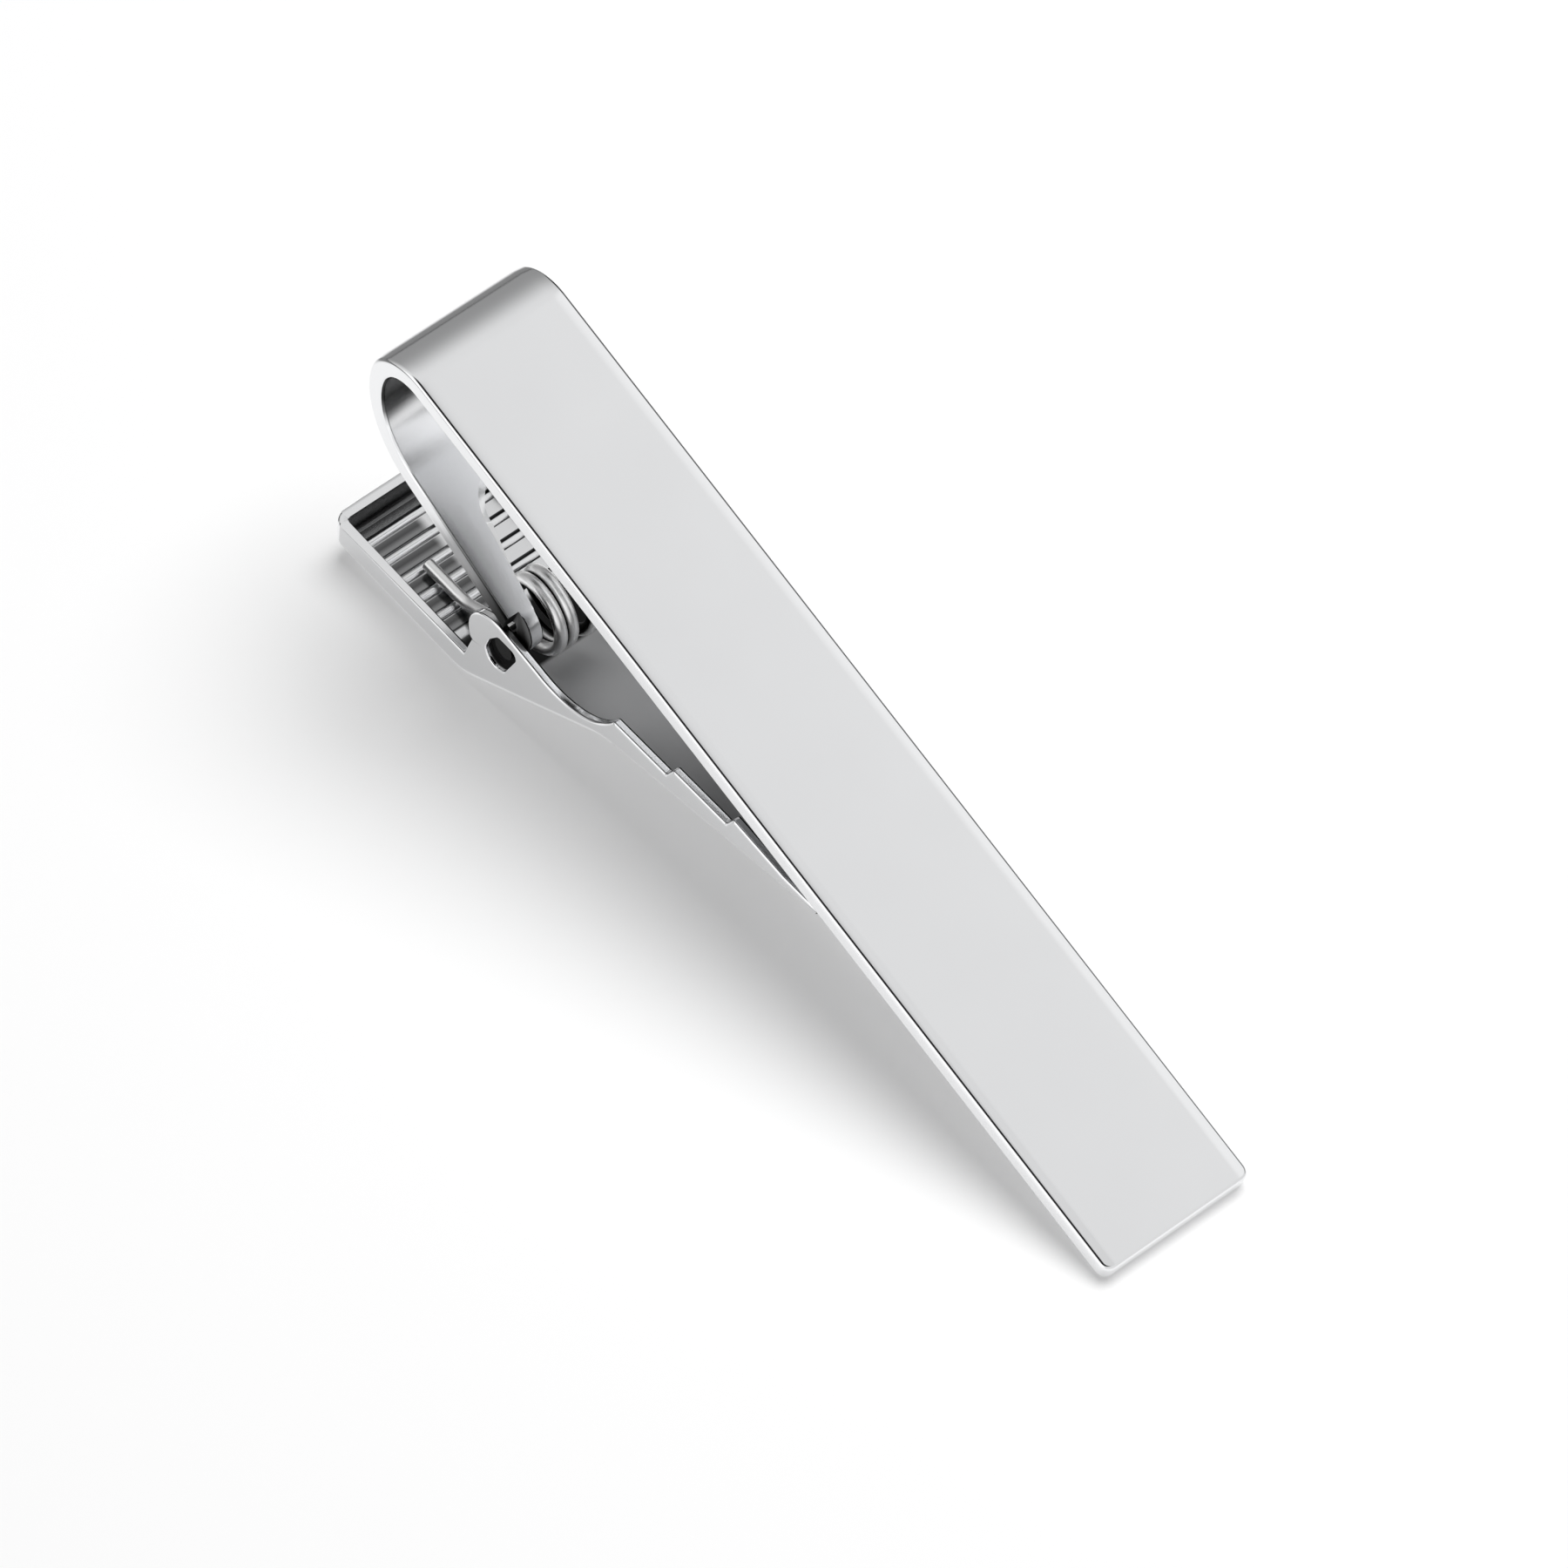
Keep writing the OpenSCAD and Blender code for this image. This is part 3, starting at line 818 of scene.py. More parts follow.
@dataclass(frozen=True)
class FrontBar:
    """The bent strip: the flat front, the bend, the forked arm and its two tongues with their lugs."""

    layout: Layout
    bench: Bench
    bend_steps: int = 40
    curl_steps: int = 16
    slot_x: float = 5.7
    slot_r: float = 1.95
    slot_over: float = 1.0
    slot_rim_x: float = 5.0
    slot_rim_run: float = 0.9
    tongue_root: float = 0.3
    tip_corner_r: float = 0.5
    eye_r: float = 0.65
    eye_clear: float = 0.12
    lug_r: float = 0.55
    lug_recess: float = 0.15
    lug_zone: float = 0.8
    stem_zone: float = 1.3
    curl_zone: float = 0.7
    hinge_x: float = 9.0
    edge_r: float = 0.18
    roll_w: float = 0.65
    roll_drop: float = 0.05
    slot_edge_r: float = 0.36
    fine_edge_r: float = 0.07

    def _strip_outline(self) -> list[Vector]:
        """The side outline of the strip.

        Returns:
            Points from the tip along the front, round the bend to the shoulder, and back along the inside.
        """
        lay, sides = self.layout, []
        upper, lower = Vector((lay.bend_r, -lay.bend_r)), Vector((lay.arm_r, -lay.bend_r))
        for depth in (0.0, lay.strip_t):
            line = [Vector((lay.bar_len, -depth))]
            line += arc(upper, lay.bend_r - depth, 90, 180, self.bend_steps)
            line += arc(lower, lay.arm_r - depth, 180, 270 - lay.arm_slope, self.bend_steps)[1:]
            sides.append([*line, lay.arm_point(lay.shoulder_x, lay.strip_t - depth)])
        return sides[0] + sides[1][::-1]

    def _slot_cutter(self) -> bpy.types.Object:
        """Makes the cutter of the round-topped slot between the tongues.

        Returns:
            The cutter, square to the bar.
        """
        lay, bench = self.layout, self.bench
        centre, end = Vector((self.slot_x + self.slot_r, 0)), lay.shoulder_x + self.slot_over
        outline = [centre + self.slot_r * heading(a) for a in range(90, 271, 5)]
        corners = ((lay.shoulder_x, -1), (end, -1), (end, 1), (lay.shoulder_x, 1))
        outline += [Vector((x, side * lay.tongue_in)) for x, side in corners]
        cutter = bench.prism("slot", outline, lay.shoulder.y - lay.hinge_drop, -lay.strip_t - self.slot_over)
        for vertex in cutter.data.vertices:
            x, y, z = vertex.co
            vertex.co = (x, z, y)
        with bench.editing(cutter):
            bench.face_outwards()
        return cutter

    def _tongue_outline(self) -> list[Vector]:
        """The side outline of a tongue.

        Returns:
            Points of its root in the arm, its curl and its stem down to the eye, and back along the inside.
        """
        lay, sides = self.layout, []
        curl_c = lay.curl_c
        last = slope_of(curl_c, lay.hinge) + math.degrees(math.acos(lay.curl_r / (lay.hinge - curl_c).length))
        for half_t in (lay.strip_t / 2, -lay.strip_t / 2):
            root = lay.shoulder + half_t * rising(-lay.arm_slope) - self.tongue_root * heading(-lay.arm_slope)
            curl = arc(curl_c, lay.curl_r + half_t, 90 - lay.arm_slope, last, self.curl_steps)
            sides.append([root, *curl, lay.hinge + half_t * heading(last)])
        return sides[0] + sides[1][::-1]

    def _roll_off(self, bar: bpy.types.Object) -> None:
        """Lets the outer face fall away a little towards both long edges, as polishing leaves it.

        Args:
            bar: The strip, before its slot is cut.
        """
        outline = self._strip_outline()
        outside = outline[: len(outline) // 2]
        for vertex in bar.data.vertices:
            if abs(vertex.co.y) < self.layout.bar_w / 2 - SNUG:
                continue
            for i, point in enumerate(outside):
                if (point - side_view(vertex.co)).length < SNUG / 10:
                    before, after = outside[max(i - 1, 0)], outside[min(i + 1, len(outside) - 1)]
                    inward = rising(slope_of(before, after))
                    vertex.co.x += self.roll_drop * inward.x
                    vertex.co.z += self.roll_drop * inward.y
                    break

    def _height(self, place: Vector) -> float:
        """Height of a place over the arm's inner face."""
        return (side_view(place) - self.layout.arm_from).dot(rising(-self.layout.arm_slope))

    def _is_slot_rim(self, ends: Sequence[Vector]) -> bool:
        """Whether an edge is on the slot's rim in the arm's inner face.

        Args:
            ends: The edge's two ends.

        Returns:
            The answer.
        """
        lay = self.layout
        on_face = all(abs(self._height(p)) < SNUG and self.slot_rim_x < p.x < lay.shoulder_x + 2 * SNUG for p in ends)
        low, high = sorted(abs(p.y) for p in ends)
        return on_face and high < lay.tongue_in + 2 * SNUG and high - low < self.slot_rim_run

    def _is_tip_corner(self, ends: Sequence[Vector]) -> bool:
        """Whether an edge is an upright corner of the bar's tip.

        Args:
            ends: The edge's two ends.

        Returns:
            The answer.
        """
        lay = self.layout
        at_corner = all(p.x > lay.bar_len - 0.1 and abs(p.y) > lay.bar_w / 2 - SNUG for p in ends)
        return at_corner and abs(ends[0].y - ends[1].y) < SNUG

    def _is_long_edge(self, ends: Sequence[Vector]) -> bool:
        """Whether an edge runs along the strip's sides or round its tip.

        Args:
            ends: The edge's two ends.

        Returns:
            The answer.
        """
        lay = self.layout
        side = all(abs(p.y) > lay.bar_w / 2 - SNUG for p in ends)
        tip = all(p.x > lay.bar_len - self.tip_corner_r - 0.05 for p in ends)
        upright = (ends[0] - ends[1]).length < lay.strip_t + SNUG
        end = all(abs(p.x - lay.shoulder_x) < 0.5 for p in ends) and upright
        return (side and not end) or tip

    def _is_fine_edge(self, ends: Sequence[Vector]) -> bool:
        """Whether an edge is one of the tongues' long edges, clear of the eyes and lugs.

        Args:
            ends: The edge's two ends.

        Returns:
            The answer.
        """
        lay = self.layout
        if any((side_view(p) - lay.hinge).length < self.eye_r + self.eye_clear for p in ends):
            return False
        start, stop = (abs(p.y) for p in ends)
        on_side = min(abs(start - lay.tongue_in), abs(start - lay.tongue_out)) < SNUG
        return abs(start - stop) < SNUG and on_side and all(p.x > lay.shoulder_x + 2 * SNUG for p in ends)

    def _hinge_mark(self, place: Vector, normal: Vector) -> float | None:
        """The painted shade of a place by the hinge: the lugs, the shoulders' ends and the tongues.

        Args:
            place: The place, in the bar's frame.
            normal: The normal of its face.

        Returns:
            The mark, or None elsewhere.
        """
        lay = self.layout
        side, aside = side_view(place), abs(place.y)
        from_hinge = (side - lay.hinge).length
        if place.x > self.hinge_x and from_hinge < self.lug_zone and aside > lay.tongue_out + SNUG:
            return PaintedLight.DARK
        if abs(place.x - lay.shoulder_x) < 0.3 and aside > lay.tongue_out - 0.05 and normal.x > 0.5:
            return PaintedLight.DARK
        if abs(normal.y) > FACING and place.x > lay.shoulder_x - 0.35 and aside < lay.tongue_out + 0.05:
            return PaintedLight.TONGUE_SIDE if from_hinge > self.stem_zone else PaintedLight.BLACK
        if place.x <= self.hinge_x or self._height(place) >= -2 * SNUG or side.y >= lay.arm_point(lay.shoulder_x, 0).y:
            return None
        outside = abs(normal.y) < 0.3 and side_view(normal).dot(side - lay.curl_c) > 0
        return PaintedLight.SHADED if outside and side.y > lay.hinge.y + self.curl_zone else PaintedLight.BLACK

    def _painted_light(self, place: Vector, normal: Vector) -> float:
        """The painted light mark of a place of the bar.

        Args:
            place: The place, in the bar's frame.
            normal: The normal of its face.

        Returns:
            SHADED for painted shade on the strip's inside, darker painted shade by the hinge, and OPEN elsewhere.
        """
        lay = self.layout
        by_hinge = self._hinge_mark(place, normal)
        if by_hinge is not None:
            return by_hinge
        if abs(normal.y) > FACING:
            return PaintedLight.OPEN
        if place.x < lay.arm_from.x:
            centre = Vector((lay.bend_r if place.z > -lay.bend_r else lay.arm_r, -lay.bend_r))
            inner = side_view(normal).dot(centre - side_view(place)) > 0 and place.z < -0.8 * lay.strip_t
        elif place.z > -lay.strip_t - 2 * SNUG:
            inner = normal.z < -FACING
        else:
            inner = side_view(normal).dot(rising(-lay.arm_slope)) > FACING
        return PaintedLight.SHADED if inner else PaintedLight.OPEN

    def build(self) -> bpy.types.Object:
        """Models the bar.

        Returns:
            The finished bar, laid down.
        """
        lay, bench = self.layout, self.bench
        half_w = lay.bar_w / 2
        rings = (self.roll_w - half_w, half_w - self.roll_w)
        bar = bench.prism("front_bar_polished", self._strip_outline(), -half_w, half_w, rings)
        self._roll_off(bar)
        bench.round_edges(bar, self.tip_corner_r, 8, self._is_tip_corner)
        bench.unite(bar, self._slot_cutter(), Fold.CUT)
        for side in (-1, 1):
            near, far = sorted((side * lay.tongue_in, side * lay.tongue_out))
            bench.unite(bar, bench.prism("tongue", self._tongue_outline(), near, far), Fold.UNITE)
            bench.unite(bar, bench.rod("eye", lay.hinge, self.eye_r, near + SNUG, far - SNUG), Fold.UNITE)
            near, far = sorted((side * (lay.tongue_in + 2 * SNUG), side * (lay.lever_w / 2 - self.lug_recess)))
            bench.unite(bar, bench.rod("lug", lay.hinge, self.lug_r, near, far), Fold.UNITE)
        bench.tidy(bar)
        bench.round_edges(bar, self.slot_edge_r, 1, self._is_slot_rim)
        bench.ease(bar, self.edge_r, 5, self._is_long_edge)
        bench.ease(bar, self.fine_edge_r, 2, self._is_fine_edge)
        bench.shade(bar)
        bench.paint_light(bar, self._painted_light)
        return bench.lay_down(bar)


@dataclass(frozen=True)
class ClipLever:
    """The folded sheet: the thumb pad, the two ears with their holes, and the toothed jaw."""

    layout: Layout
    pad: PadSizes
    bench: Bench
    ear_r: float = 1.8
    ear_back: float = 0.3
    ear_drop: float = 0.45
    neck_back: float = 1.5
    hole_corners: tuple[Span, ...] = (
        (-0.74, -1.15), (-0.4, -1.55), (0.15, -1.6), (0.62, -1.25),
        (0.84, 0.55), (0.6, 0.86), (-0.4, 0.6), (-0.74, -0.3),
    )
    hole_corner_r: float = 0.16
    hole_wall: float = 0.12
    scoop_r: float = 4.3
    scoop_ahead: float = 2.0
    scoop_rise: float = 1.5
    tooth_count: int = 3
    tooth_start: float = 0.96
    tooth_pitch: float = 3.95
    tooth_h: float = 2.0
    tooth_low: float = 1.35
    tooth_step: float = 0.55
    nose_len: float = 2.26
    nose_h: float = 0.92
    hollow_h: float = 9.0
    edge_r: float = 0.1
    brow_r: float = 0.15
    ear_zone: float = 2.6

    def _top_line(self) -> list[Vector]:
        """The sheet's upper contour.

        Returns:
            Points from the end of the pad over the ear and the teeth to the tip of the jaw.
        """
        lay, pad = self.layout, self.pad
        rim = lay.pad_point(0, pad.rim_h)
        ear_c = lay.hinge - Vector((self.ear_back, self.ear_drop))
        scoop_c = lay.hinge + Vector((self.scoop_ahead, self.scoop_rise + self.scoop_r))
        neck_x = lay.hinge.x - self.neck_back
        rim_end = rim + (neck_x - rim.x) / math.cos(math.radians(lay.pad_slope)) * heading(lay.pad_slope)
        under = math.degrees(math.acos((ear_c.x - neck_x) / self.ear_r))
        first = lay.jaw_point(self.tooth_start, self.tooth_h)
        line = [rim, rim_end]
        line += arc(ear_c, self.ear_r, 180 + under, 90, 40)
        line += arc(scoop_c, self.scoop_r, -90, slope_of(scoop_c, first), 30)
        for k in range(1, self.tooth_count):
            start = self.tooth_start + k * self.tooth_pitch
            line.append(lay.jaw_point(start - self.tooth_step, self.tooth_low))
            line.append(lay.jaw_point(start, self.tooth_h))
        return [*line, lay.jaw_point(lay.jaw_len - self.nose_len, self.nose_h), lay.jaw_point(lay.jaw_len, lay.tip_h)]

    def _under_line(self, inset: float) -> list[Vector]:
        """The sheet's underside, or a line above it.

        Args:
            inset: How far above it.

        Returns:
            Its points, from the jaw back to the pad.
        """
        lay = self.layout
        knee = arc(lay.knee_c, lay.knee_r + inset, 90 + lay.jaw_slope, 90 + lay.back_slope, 12)
        return knee + arc(lay.heel_c, lay.heel_r - inset, lay.back_slope - 90, lay.pad_slope - 90, 24)

    def _along(self, place: Vector) -> float:
        """Distance of a place from the pad's end, along the pad."""
        return (side_view(place) - self.layout.pad_point(0, 0)).dot(heading(self.layout.pad_slope))

    def _height(self, place: Vector) -> float:
        """Height of a place above the line of the pad's underside."""
        return (side_view(place) - self.layout.pad_point(0, 0)).dot(rising(self.layout.pad_slope))

    def _on_pad_end(self, place: Vector) -> bool:
        """Whether a place is on the pad's end face or on the hollow's."""
        return self._along(place) < self.layout.sheet_t + SNUG

    def _on_end_rim(self, place: Vector) -> bool:
        """Whether a place is on the top of the pad's end wall."""
        return self._on_pad_end(place) and self._height(place) > self.pad.rim_h - 0.05

    def _on_under_line(self, place: Vector) -> bool:
        """Whether a place is on the sheet's underside or on the floor of the hollow.

        Args:
            place: The place, in the bar's frame.

        Returns:
            The answer.
        """
        lay, point = self.layout, side_view(place)
        heights = (
            self._height(place),
            (point - lay.heel).dot(rising(lay.back_slope)),
            (point - lay.knee).dot(rising(lay.jaw_slope)),
            lay.heel_r - (point - lay.heel_c).length,
            (point - lay.knee_c).length - lay.knee_r,
        )
        return min(min(abs(h), abs(h - lay.sheet_t)) for h in heights) < SNUG

    def _is_low_edge(self, ends: Sequence[Vector]) -> bool:
        """Whether an edge is one of those that the folds round: the sides' lower edges and the pad's end.

        Args:
            ends: The edge's two ends.

        Returns:
            The answer.
        """
        if abs(ends[0].y - ends[1].y) >= SNUG:
            return all(self._on_pad_end(p) and self._height(p) < 1.0 for p in ends)
        if any(abs(p.y) <= self.layout.wall_in - SNUG for p in ends):
            return False
        return all(map(self._on_pad_end, ends)) or all(map(self._on_under_line, ends))

    def _is_by_hole(self, side: Vector) -> bool:
        """Whether a point of the side view is on the wall of a hole in an ear.

        Args:
            side: The point.

        Returns:
            The answer.
        """
        place = side - self.layout.hinge
        corners = [Vector(p) for p in self.hole_corners]
        return any(
            (place - a).length + (place - b).length < (b - a).length + self.hole_wall
            for a, b in zip(corners, corners[1:] + corners[:1])
        )

    def _is_brow(self, ends: Sequence[Vector]) -> bool:
        """Whether an edge is on the outer side of a wall's top.

        Args:
            ends: The edge's two ends.

        Returns:
            The answer.
        """
        outer = all(abs(p.y) > self.layout.lever_w / 2 - SNUG for p in ends)
        at_end = all(self._on_end_rim(p) and abs(self._along(p)) < SNUG for p in ends)
        return at_end or (outer and not any(self._is_by_hole(side_view(p)) for p in ends))

    def _is_rim(self, ends: Sequence[Vector]) -> bool:
        """Whether an edge is on the rim of a wall, of a hole or of the tip.

        Args:
            ends: The edge's two ends.

        Returns:
            The answer.
        """
        lay = self.layout
        on_wall = all(abs(p.y) > lay.wall_in - SNUG for p in ends)
        at_tip = all(p.x > lay.jaw_point(lay.jaw_len, 0).x - 0.05 for p in ends)
        return on_wall or at_tip or all(map(self._on_end_rim, ends))

    @staticmethod
    def _lip(lean: float) -> float:
        """The painted light of a wall's lip: painted shade inside, a painted highlight on top, and a painted thin dark
        line outside.

        Args:
            lean: How far its normal leans outwards, from -1 to 1.

        Returns:
            The mark.
        """
        if lean < -0.1:
            return PaintedLight.DARK
        if lean < 0.25:
            return PaintedLight.BRIGHT
        return PaintedLight.THIN_LINE if lean < 0.6 else PaintedLight.OPEN

    def _rim_mark(self, place: Vector, normal: Vector) -> float | None:
        """The painted light mark of a place on a rim or a corner of the sheet.

        Args:
            place: The place, in the bar's frame.
            normal: The normal of its face.

        Returns:
            The mark, or None elsewhere.
        """
        lay = self.layout
        side, aside, flat = side_view(place), abs(place.y), side_view(normal)
        outward, endward = normal.y * math.copysign(1, place.y), -flat.dot(heading(lay.pad_slope))
        at_corner = self._along(place) < self.pad.fold_r + 0.05 and flat.dot(rising(lay.pad_slope)) < 0.3
        if at_corner and max(outward, endward) > 0.2:
            return PaintedLight.OPEN
        if aside > lay.wall_in - 2 * SNUG and normal.z > -0.2 or aside > lay.wall_in + 0.2:
            if (side - lay.hinge).length < 2.0 and abs(normal.y) < 0.5 and self._is_by_hole(side):
                return PaintedLight.THIN_LINE if aside < lay.lever_w / 2 - self.edge_r - SNUG else PaintedLight.OPEN
            if outward > -0.98:
                return self._lip(outward)
        at_end = self._along(place) < lay.sheet_t + 2 * SNUG
        if at_end and self._height(place) > self.pad.rim_h - self.brow_r - 2 * SNUG:
            return self._lip(endward)
        return None

    def _is_inside(self, side: Vector, flat: Vector) -> bool:
        """Whether a face looks into the tray or the channel.

        Args:
            side: A point of the face in the side view.
            flat: Its normal in the side view.

        Returns:
            The answer.
        """
        lay = self.layout
        in_heel = (side - lay.heel_c).length < lay.heel_r + 0.5 and lay.heel_from.x < side.x < lay.heel.x + 2
        if in_heel:
            return flat.dot(lay.heel_c - side) > 0
        slope = lay.back_slope if side.x < lay.knee.x else lay.jaw_slope
        if side.x < lay.heel_from.x:
            slope = lay.pad_slope
        by_end = side.x < lay.pad_point(lay.sheet_t + 0.1, 0).x + 0.5
        return flat.dot(rising(slope)) > 0 or (by_end and flat.dot(heading(lay.pad_slope)) > 0.5)

    def _painted_light(self, place: Vector, normal: Vector) -> float:
        """The painted light mark of a place of the lever.

        Args:
            place: The place, in the bar's frame.
            normal: The normal of its face.

        Returns:
            SHADED for painted shade on the tray and the channel, darker painted shade by the hinge and on the walls,
            and OPEN elsewhere.
        """
        on_rim = self._rim_mark(place, normal)
        if on_rim is not None:
            return on_rim
        side = side_view(place)
        by_hinge = (side - self.layout.hinge).length < self.ear_zone
        if abs(normal.y) > FACING:
            return PaintedLight.EAR_INSIDE if by_hinge else PaintedLight.INNER_WALL
        if not self._is_inside(side, side_view(normal)):
            return PaintedLight.OPEN
        return PaintedLight.BLACK if by_hinge else PaintedLight.SHADED

    def _loaf(self) -> bpy.types.Object:
        """Makes the lever as a full solid.

        Returns:
            The solid, round along its folds.
        """
        lay, bench = self.layout, self.bench
        outline = self._top_line() + [lay.jaw_point(lay.jaw_len, 0)] + self._under_line(0) + [lay.pad_point(0, 0)]
        loaf = bench.prism("clip_lever_polished", outline, -lay.lever_w / 2, lay.lever_w / 2)
        bench.round_edges(loaf, self.pad.fold_r, 8, self._is_low_edge)
        return loaf

    def _hollow(self) -> bpy.types.Object:
        """Makes what is taken out of the loaf.

        Returns:
            The solid, round along its lower edges.
        """
        lay, bench, t = self.layout, self.bench, self.layout.sheet_t
        over = lay.jaw_len + 1
        outline = [lay.pad_point(t, self.hollow_h), lay.jaw_point(over, self.hollow_h), lay.jaw_point(over, t)]
        outline += self._under_line(t) + [lay.pad_point(t, t)]
        hollow = bench.prism("hollow", outline, -lay.wall_in, lay.wall_in)
        bench.round_edges(hollow, self.pad.fold_r - t, 5, self._is_low_edge)
        return hollow

    def _hole(self) -> bpy.types.Object:
        """Makes the cutter of the ears' holes.

        Returns:
            The cutter: a leaning D with rounded corners, wider below the lug.
        """
        lay, bench = self.layout, self.bench
        cutter = bench.prism("hole", [lay.hinge + Vector(p) for p in self.hole_corners], -lay.bar_w, lay.bar_w)
        bench.round_edges(cutter, self.hole_corner_r, 5, lambda ends: abs(ends[0].y - ends[1].y) > 1)
        return cutter

    def _cut_ribs(self, solid: bpy.types.Object, floor: float) -> None:
        """Cuts the ribs' rods out of a solid.

        Args:
            solid: The solid.
            floor: Height of the floor over which the rods rise.
        """
        pad, half = self.pad, self.layout.lever_w / 2 - self.pad.fold_r
        for i in range(pad.rib_count):
            middle = self.layout.pad_point(pad.rib_start + i * pad.rib_pitch, floor + pad.rib_rise - pad.rib_r)
            self.bench.unite(solid, self.bench.rod("rib", middle, pad.rib_r, -half, half), Fold.CUT)

    def build(self) -> bpy.types.Object:
        """Models the lever, with ribs left standing on its floor and grooves under them.

        Returns:
            The finished lever, laid down.
        """
        bench = self.bench
        lever, hollow = self._loaf(), self._hollow()
        self._cut_ribs(hollow, self.layout.sheet_t)
        bench.unite(lever, hollow, Fold.CUT)
        self._cut_ribs(lever, 0)
        bench.unite(lever, self._hole(), Fold.CUT)
        bench.tidy(lever)
        bench.ease(lever, self.brow_r, 6, self._is_brow)
        bench.ease(lever, self.edge_r, 3, self._is_rim)
        bench.shade(lever)
        bench.paint_light(lever, self._painted_light)
        return bench.lay_down(lever)


@dataclass(frozen=True)
class TorsionSpring:
    """The wound wire: a foot on the pad, the coil between the tongues, and a leg under the arm."""

    layout: Layout
    pad: PadSizes
    bench: Bench
    wire_d: float = 0.6
    coil_r: float = 1.67
    coil_back: float = 0.45
    coil_rise: float = 0.15
    coil_turns: int = 2
    coil_side: float = 1.75
    turn_step: float = 7.5
    close_pitch: float = 1.03
    open_from: float = 1.3
    open_over: float = 0.4
    open_more: float = 0.8
    arm_leg_x: float = 4.9
    arm_gap: float = 0.12
    foot_back: float = 2.45
    foot_len: float = 2.6
    foot_gap: float = 0.05
    ankle_r: float = 0.6
    ankle_cut: float = 0.12
    end_r: float = 0.06
    # Where painted shade falls on the wire below the coil, inside it and between its turns.
    dark_leg: float = 1.6
    dark_beyond: float = 0.42
    dark_lean: float = 0.84

    def _coil_c(self) -> Vector:
        """The middle of the coil in the side view."""
        return self.layout.hinge + Vector((-self.coil_back, self.coil_rise))

    def _across(self, turns: float) -> float:
        """How far across the clip the wire lies: two close turns, then an open one.

        Args:
            turns: Turns from the pad's leg.

        Returns:
            Its y, in the bar's frame.
        """
        close = self.wire_d * self.close_pitch
        opening = max(turns - self.open_from, 0.0)
        soft = min(opening, self.open_over)
        return close * turns - self.coil_side + self.open_more * (soft * soft / 2 / self.open_over + opening - soft)

    def _foot(self, leg_to: Vector) -> list[Vector]:
        """The foot on the pad and the bend up into the leg.

        Args:
            leg_to: Where the leg meets the coil, in the side view.

        Returns:
            Points of the side view.
        """
        foot_in = self._foot_in()
        back, leg = heading(self.layout.pad_slope), heading(slope_of(foot_in, leg_to))
        half, inside = self.ankle_r / 2, leg - back
        return [
            foot_in - self.foot_len * back,
            foot_in - self.ankle_r * back,
            foot_in - half * back + self.ankle_cut / 3 * inside,
            foot_in + self.ankle_cut * inside,
            foot_in + half * leg - self.ankle_cut / 3 * inside,
            foot_in + self.ankle_r * leg,
        ]

    def _foot_in(self) -> Vector:
        """The corner of the foot.

        Returns:
            Where the lines of the foot and the leg meet, in the side view.
        """
        lay = self.layout
        lift = lay.sheet_t + self.pad.rib_rise + self.foot_gap + self.wire_d / 2
        return lay.heel - self.foot_back * heading(lay.pad_slope) + lift * rising(lay.pad_slope)

    def _touch(self, point: Vector, side: int) -> float:
        """The angle at which the straight wire from a point touches the coil, on one of its two sides."""
        coil_c = self._coil_c()
        return slope_of(coil_c, point) + side * math.degrees(math.acos(self.coil_r / (point - coil_c).length))

    def path(self) -> list[Vector]:
        """The wire's middle line.

        Returns:
            Its points, in the bar's frame.
        """
        lay, coil_c = self.layout, self._coil_c()
        arm_end = lay.arm_point(self.arm_leg_x, lay.strip_t + self.arm_gap + self.wire_d / 2)
        first = self._touch(self._foot_in(), 1)
        last = self._touch(arm_end, -1) + 360 * self.coil_turns
        steps = round((last - first) / self.turn_step)
        foot = self._foot(coil_c + self.coil_r * heading(first))
        coil = arc(coil_c, self.coil_r, first, last, steps)
        turns = [0.0] * len(foot) + [(last - first) / 360 * i / steps for i in range(steps + 1)]
        turns.append(turns[-1])
        return [Vector((p.x, self._across(t), p.y)) for p, t in zip([*foot, *coil, arm_end], turns)]

    def _painted_light(self, place: Vector, normal: Vector) -> float:
        """The painted light mark of a place of the wire: painted shade inside the coil, between its turns and on the
        wire just below it.

        Args:
            place: The place, in the bar's frame.
            normal: The wire's normal there.

        Returns:
            The mark.
        """
        side, near = side_view(place) - self._coil_c(), place.y + self.coil_side
        outer = self.coil_r + self.wire_d / 2 + 2 * SNUG
        if side.length > outer:
            return PaintedLight.DARK if side.length < outer + self.dark_leg and side.y < 0 else PaintedLight.OPEN
        inward = min(max((self.coil_r - 2 * SNUG - side.length) / 0.06, 0.0), 1.0)
        if side.x > -0.4:
            inward *= min(max((near - self.dark_beyond) / 0.1, 0.0), 1.0)
        on_near_side = near < 0.1 and normal.y < 0
        between = 0.0 if on_near_side else min(max((abs(normal.y) - self.dark_lean) / 0.08, 0.0), 1.0)
        return max(inward, between)

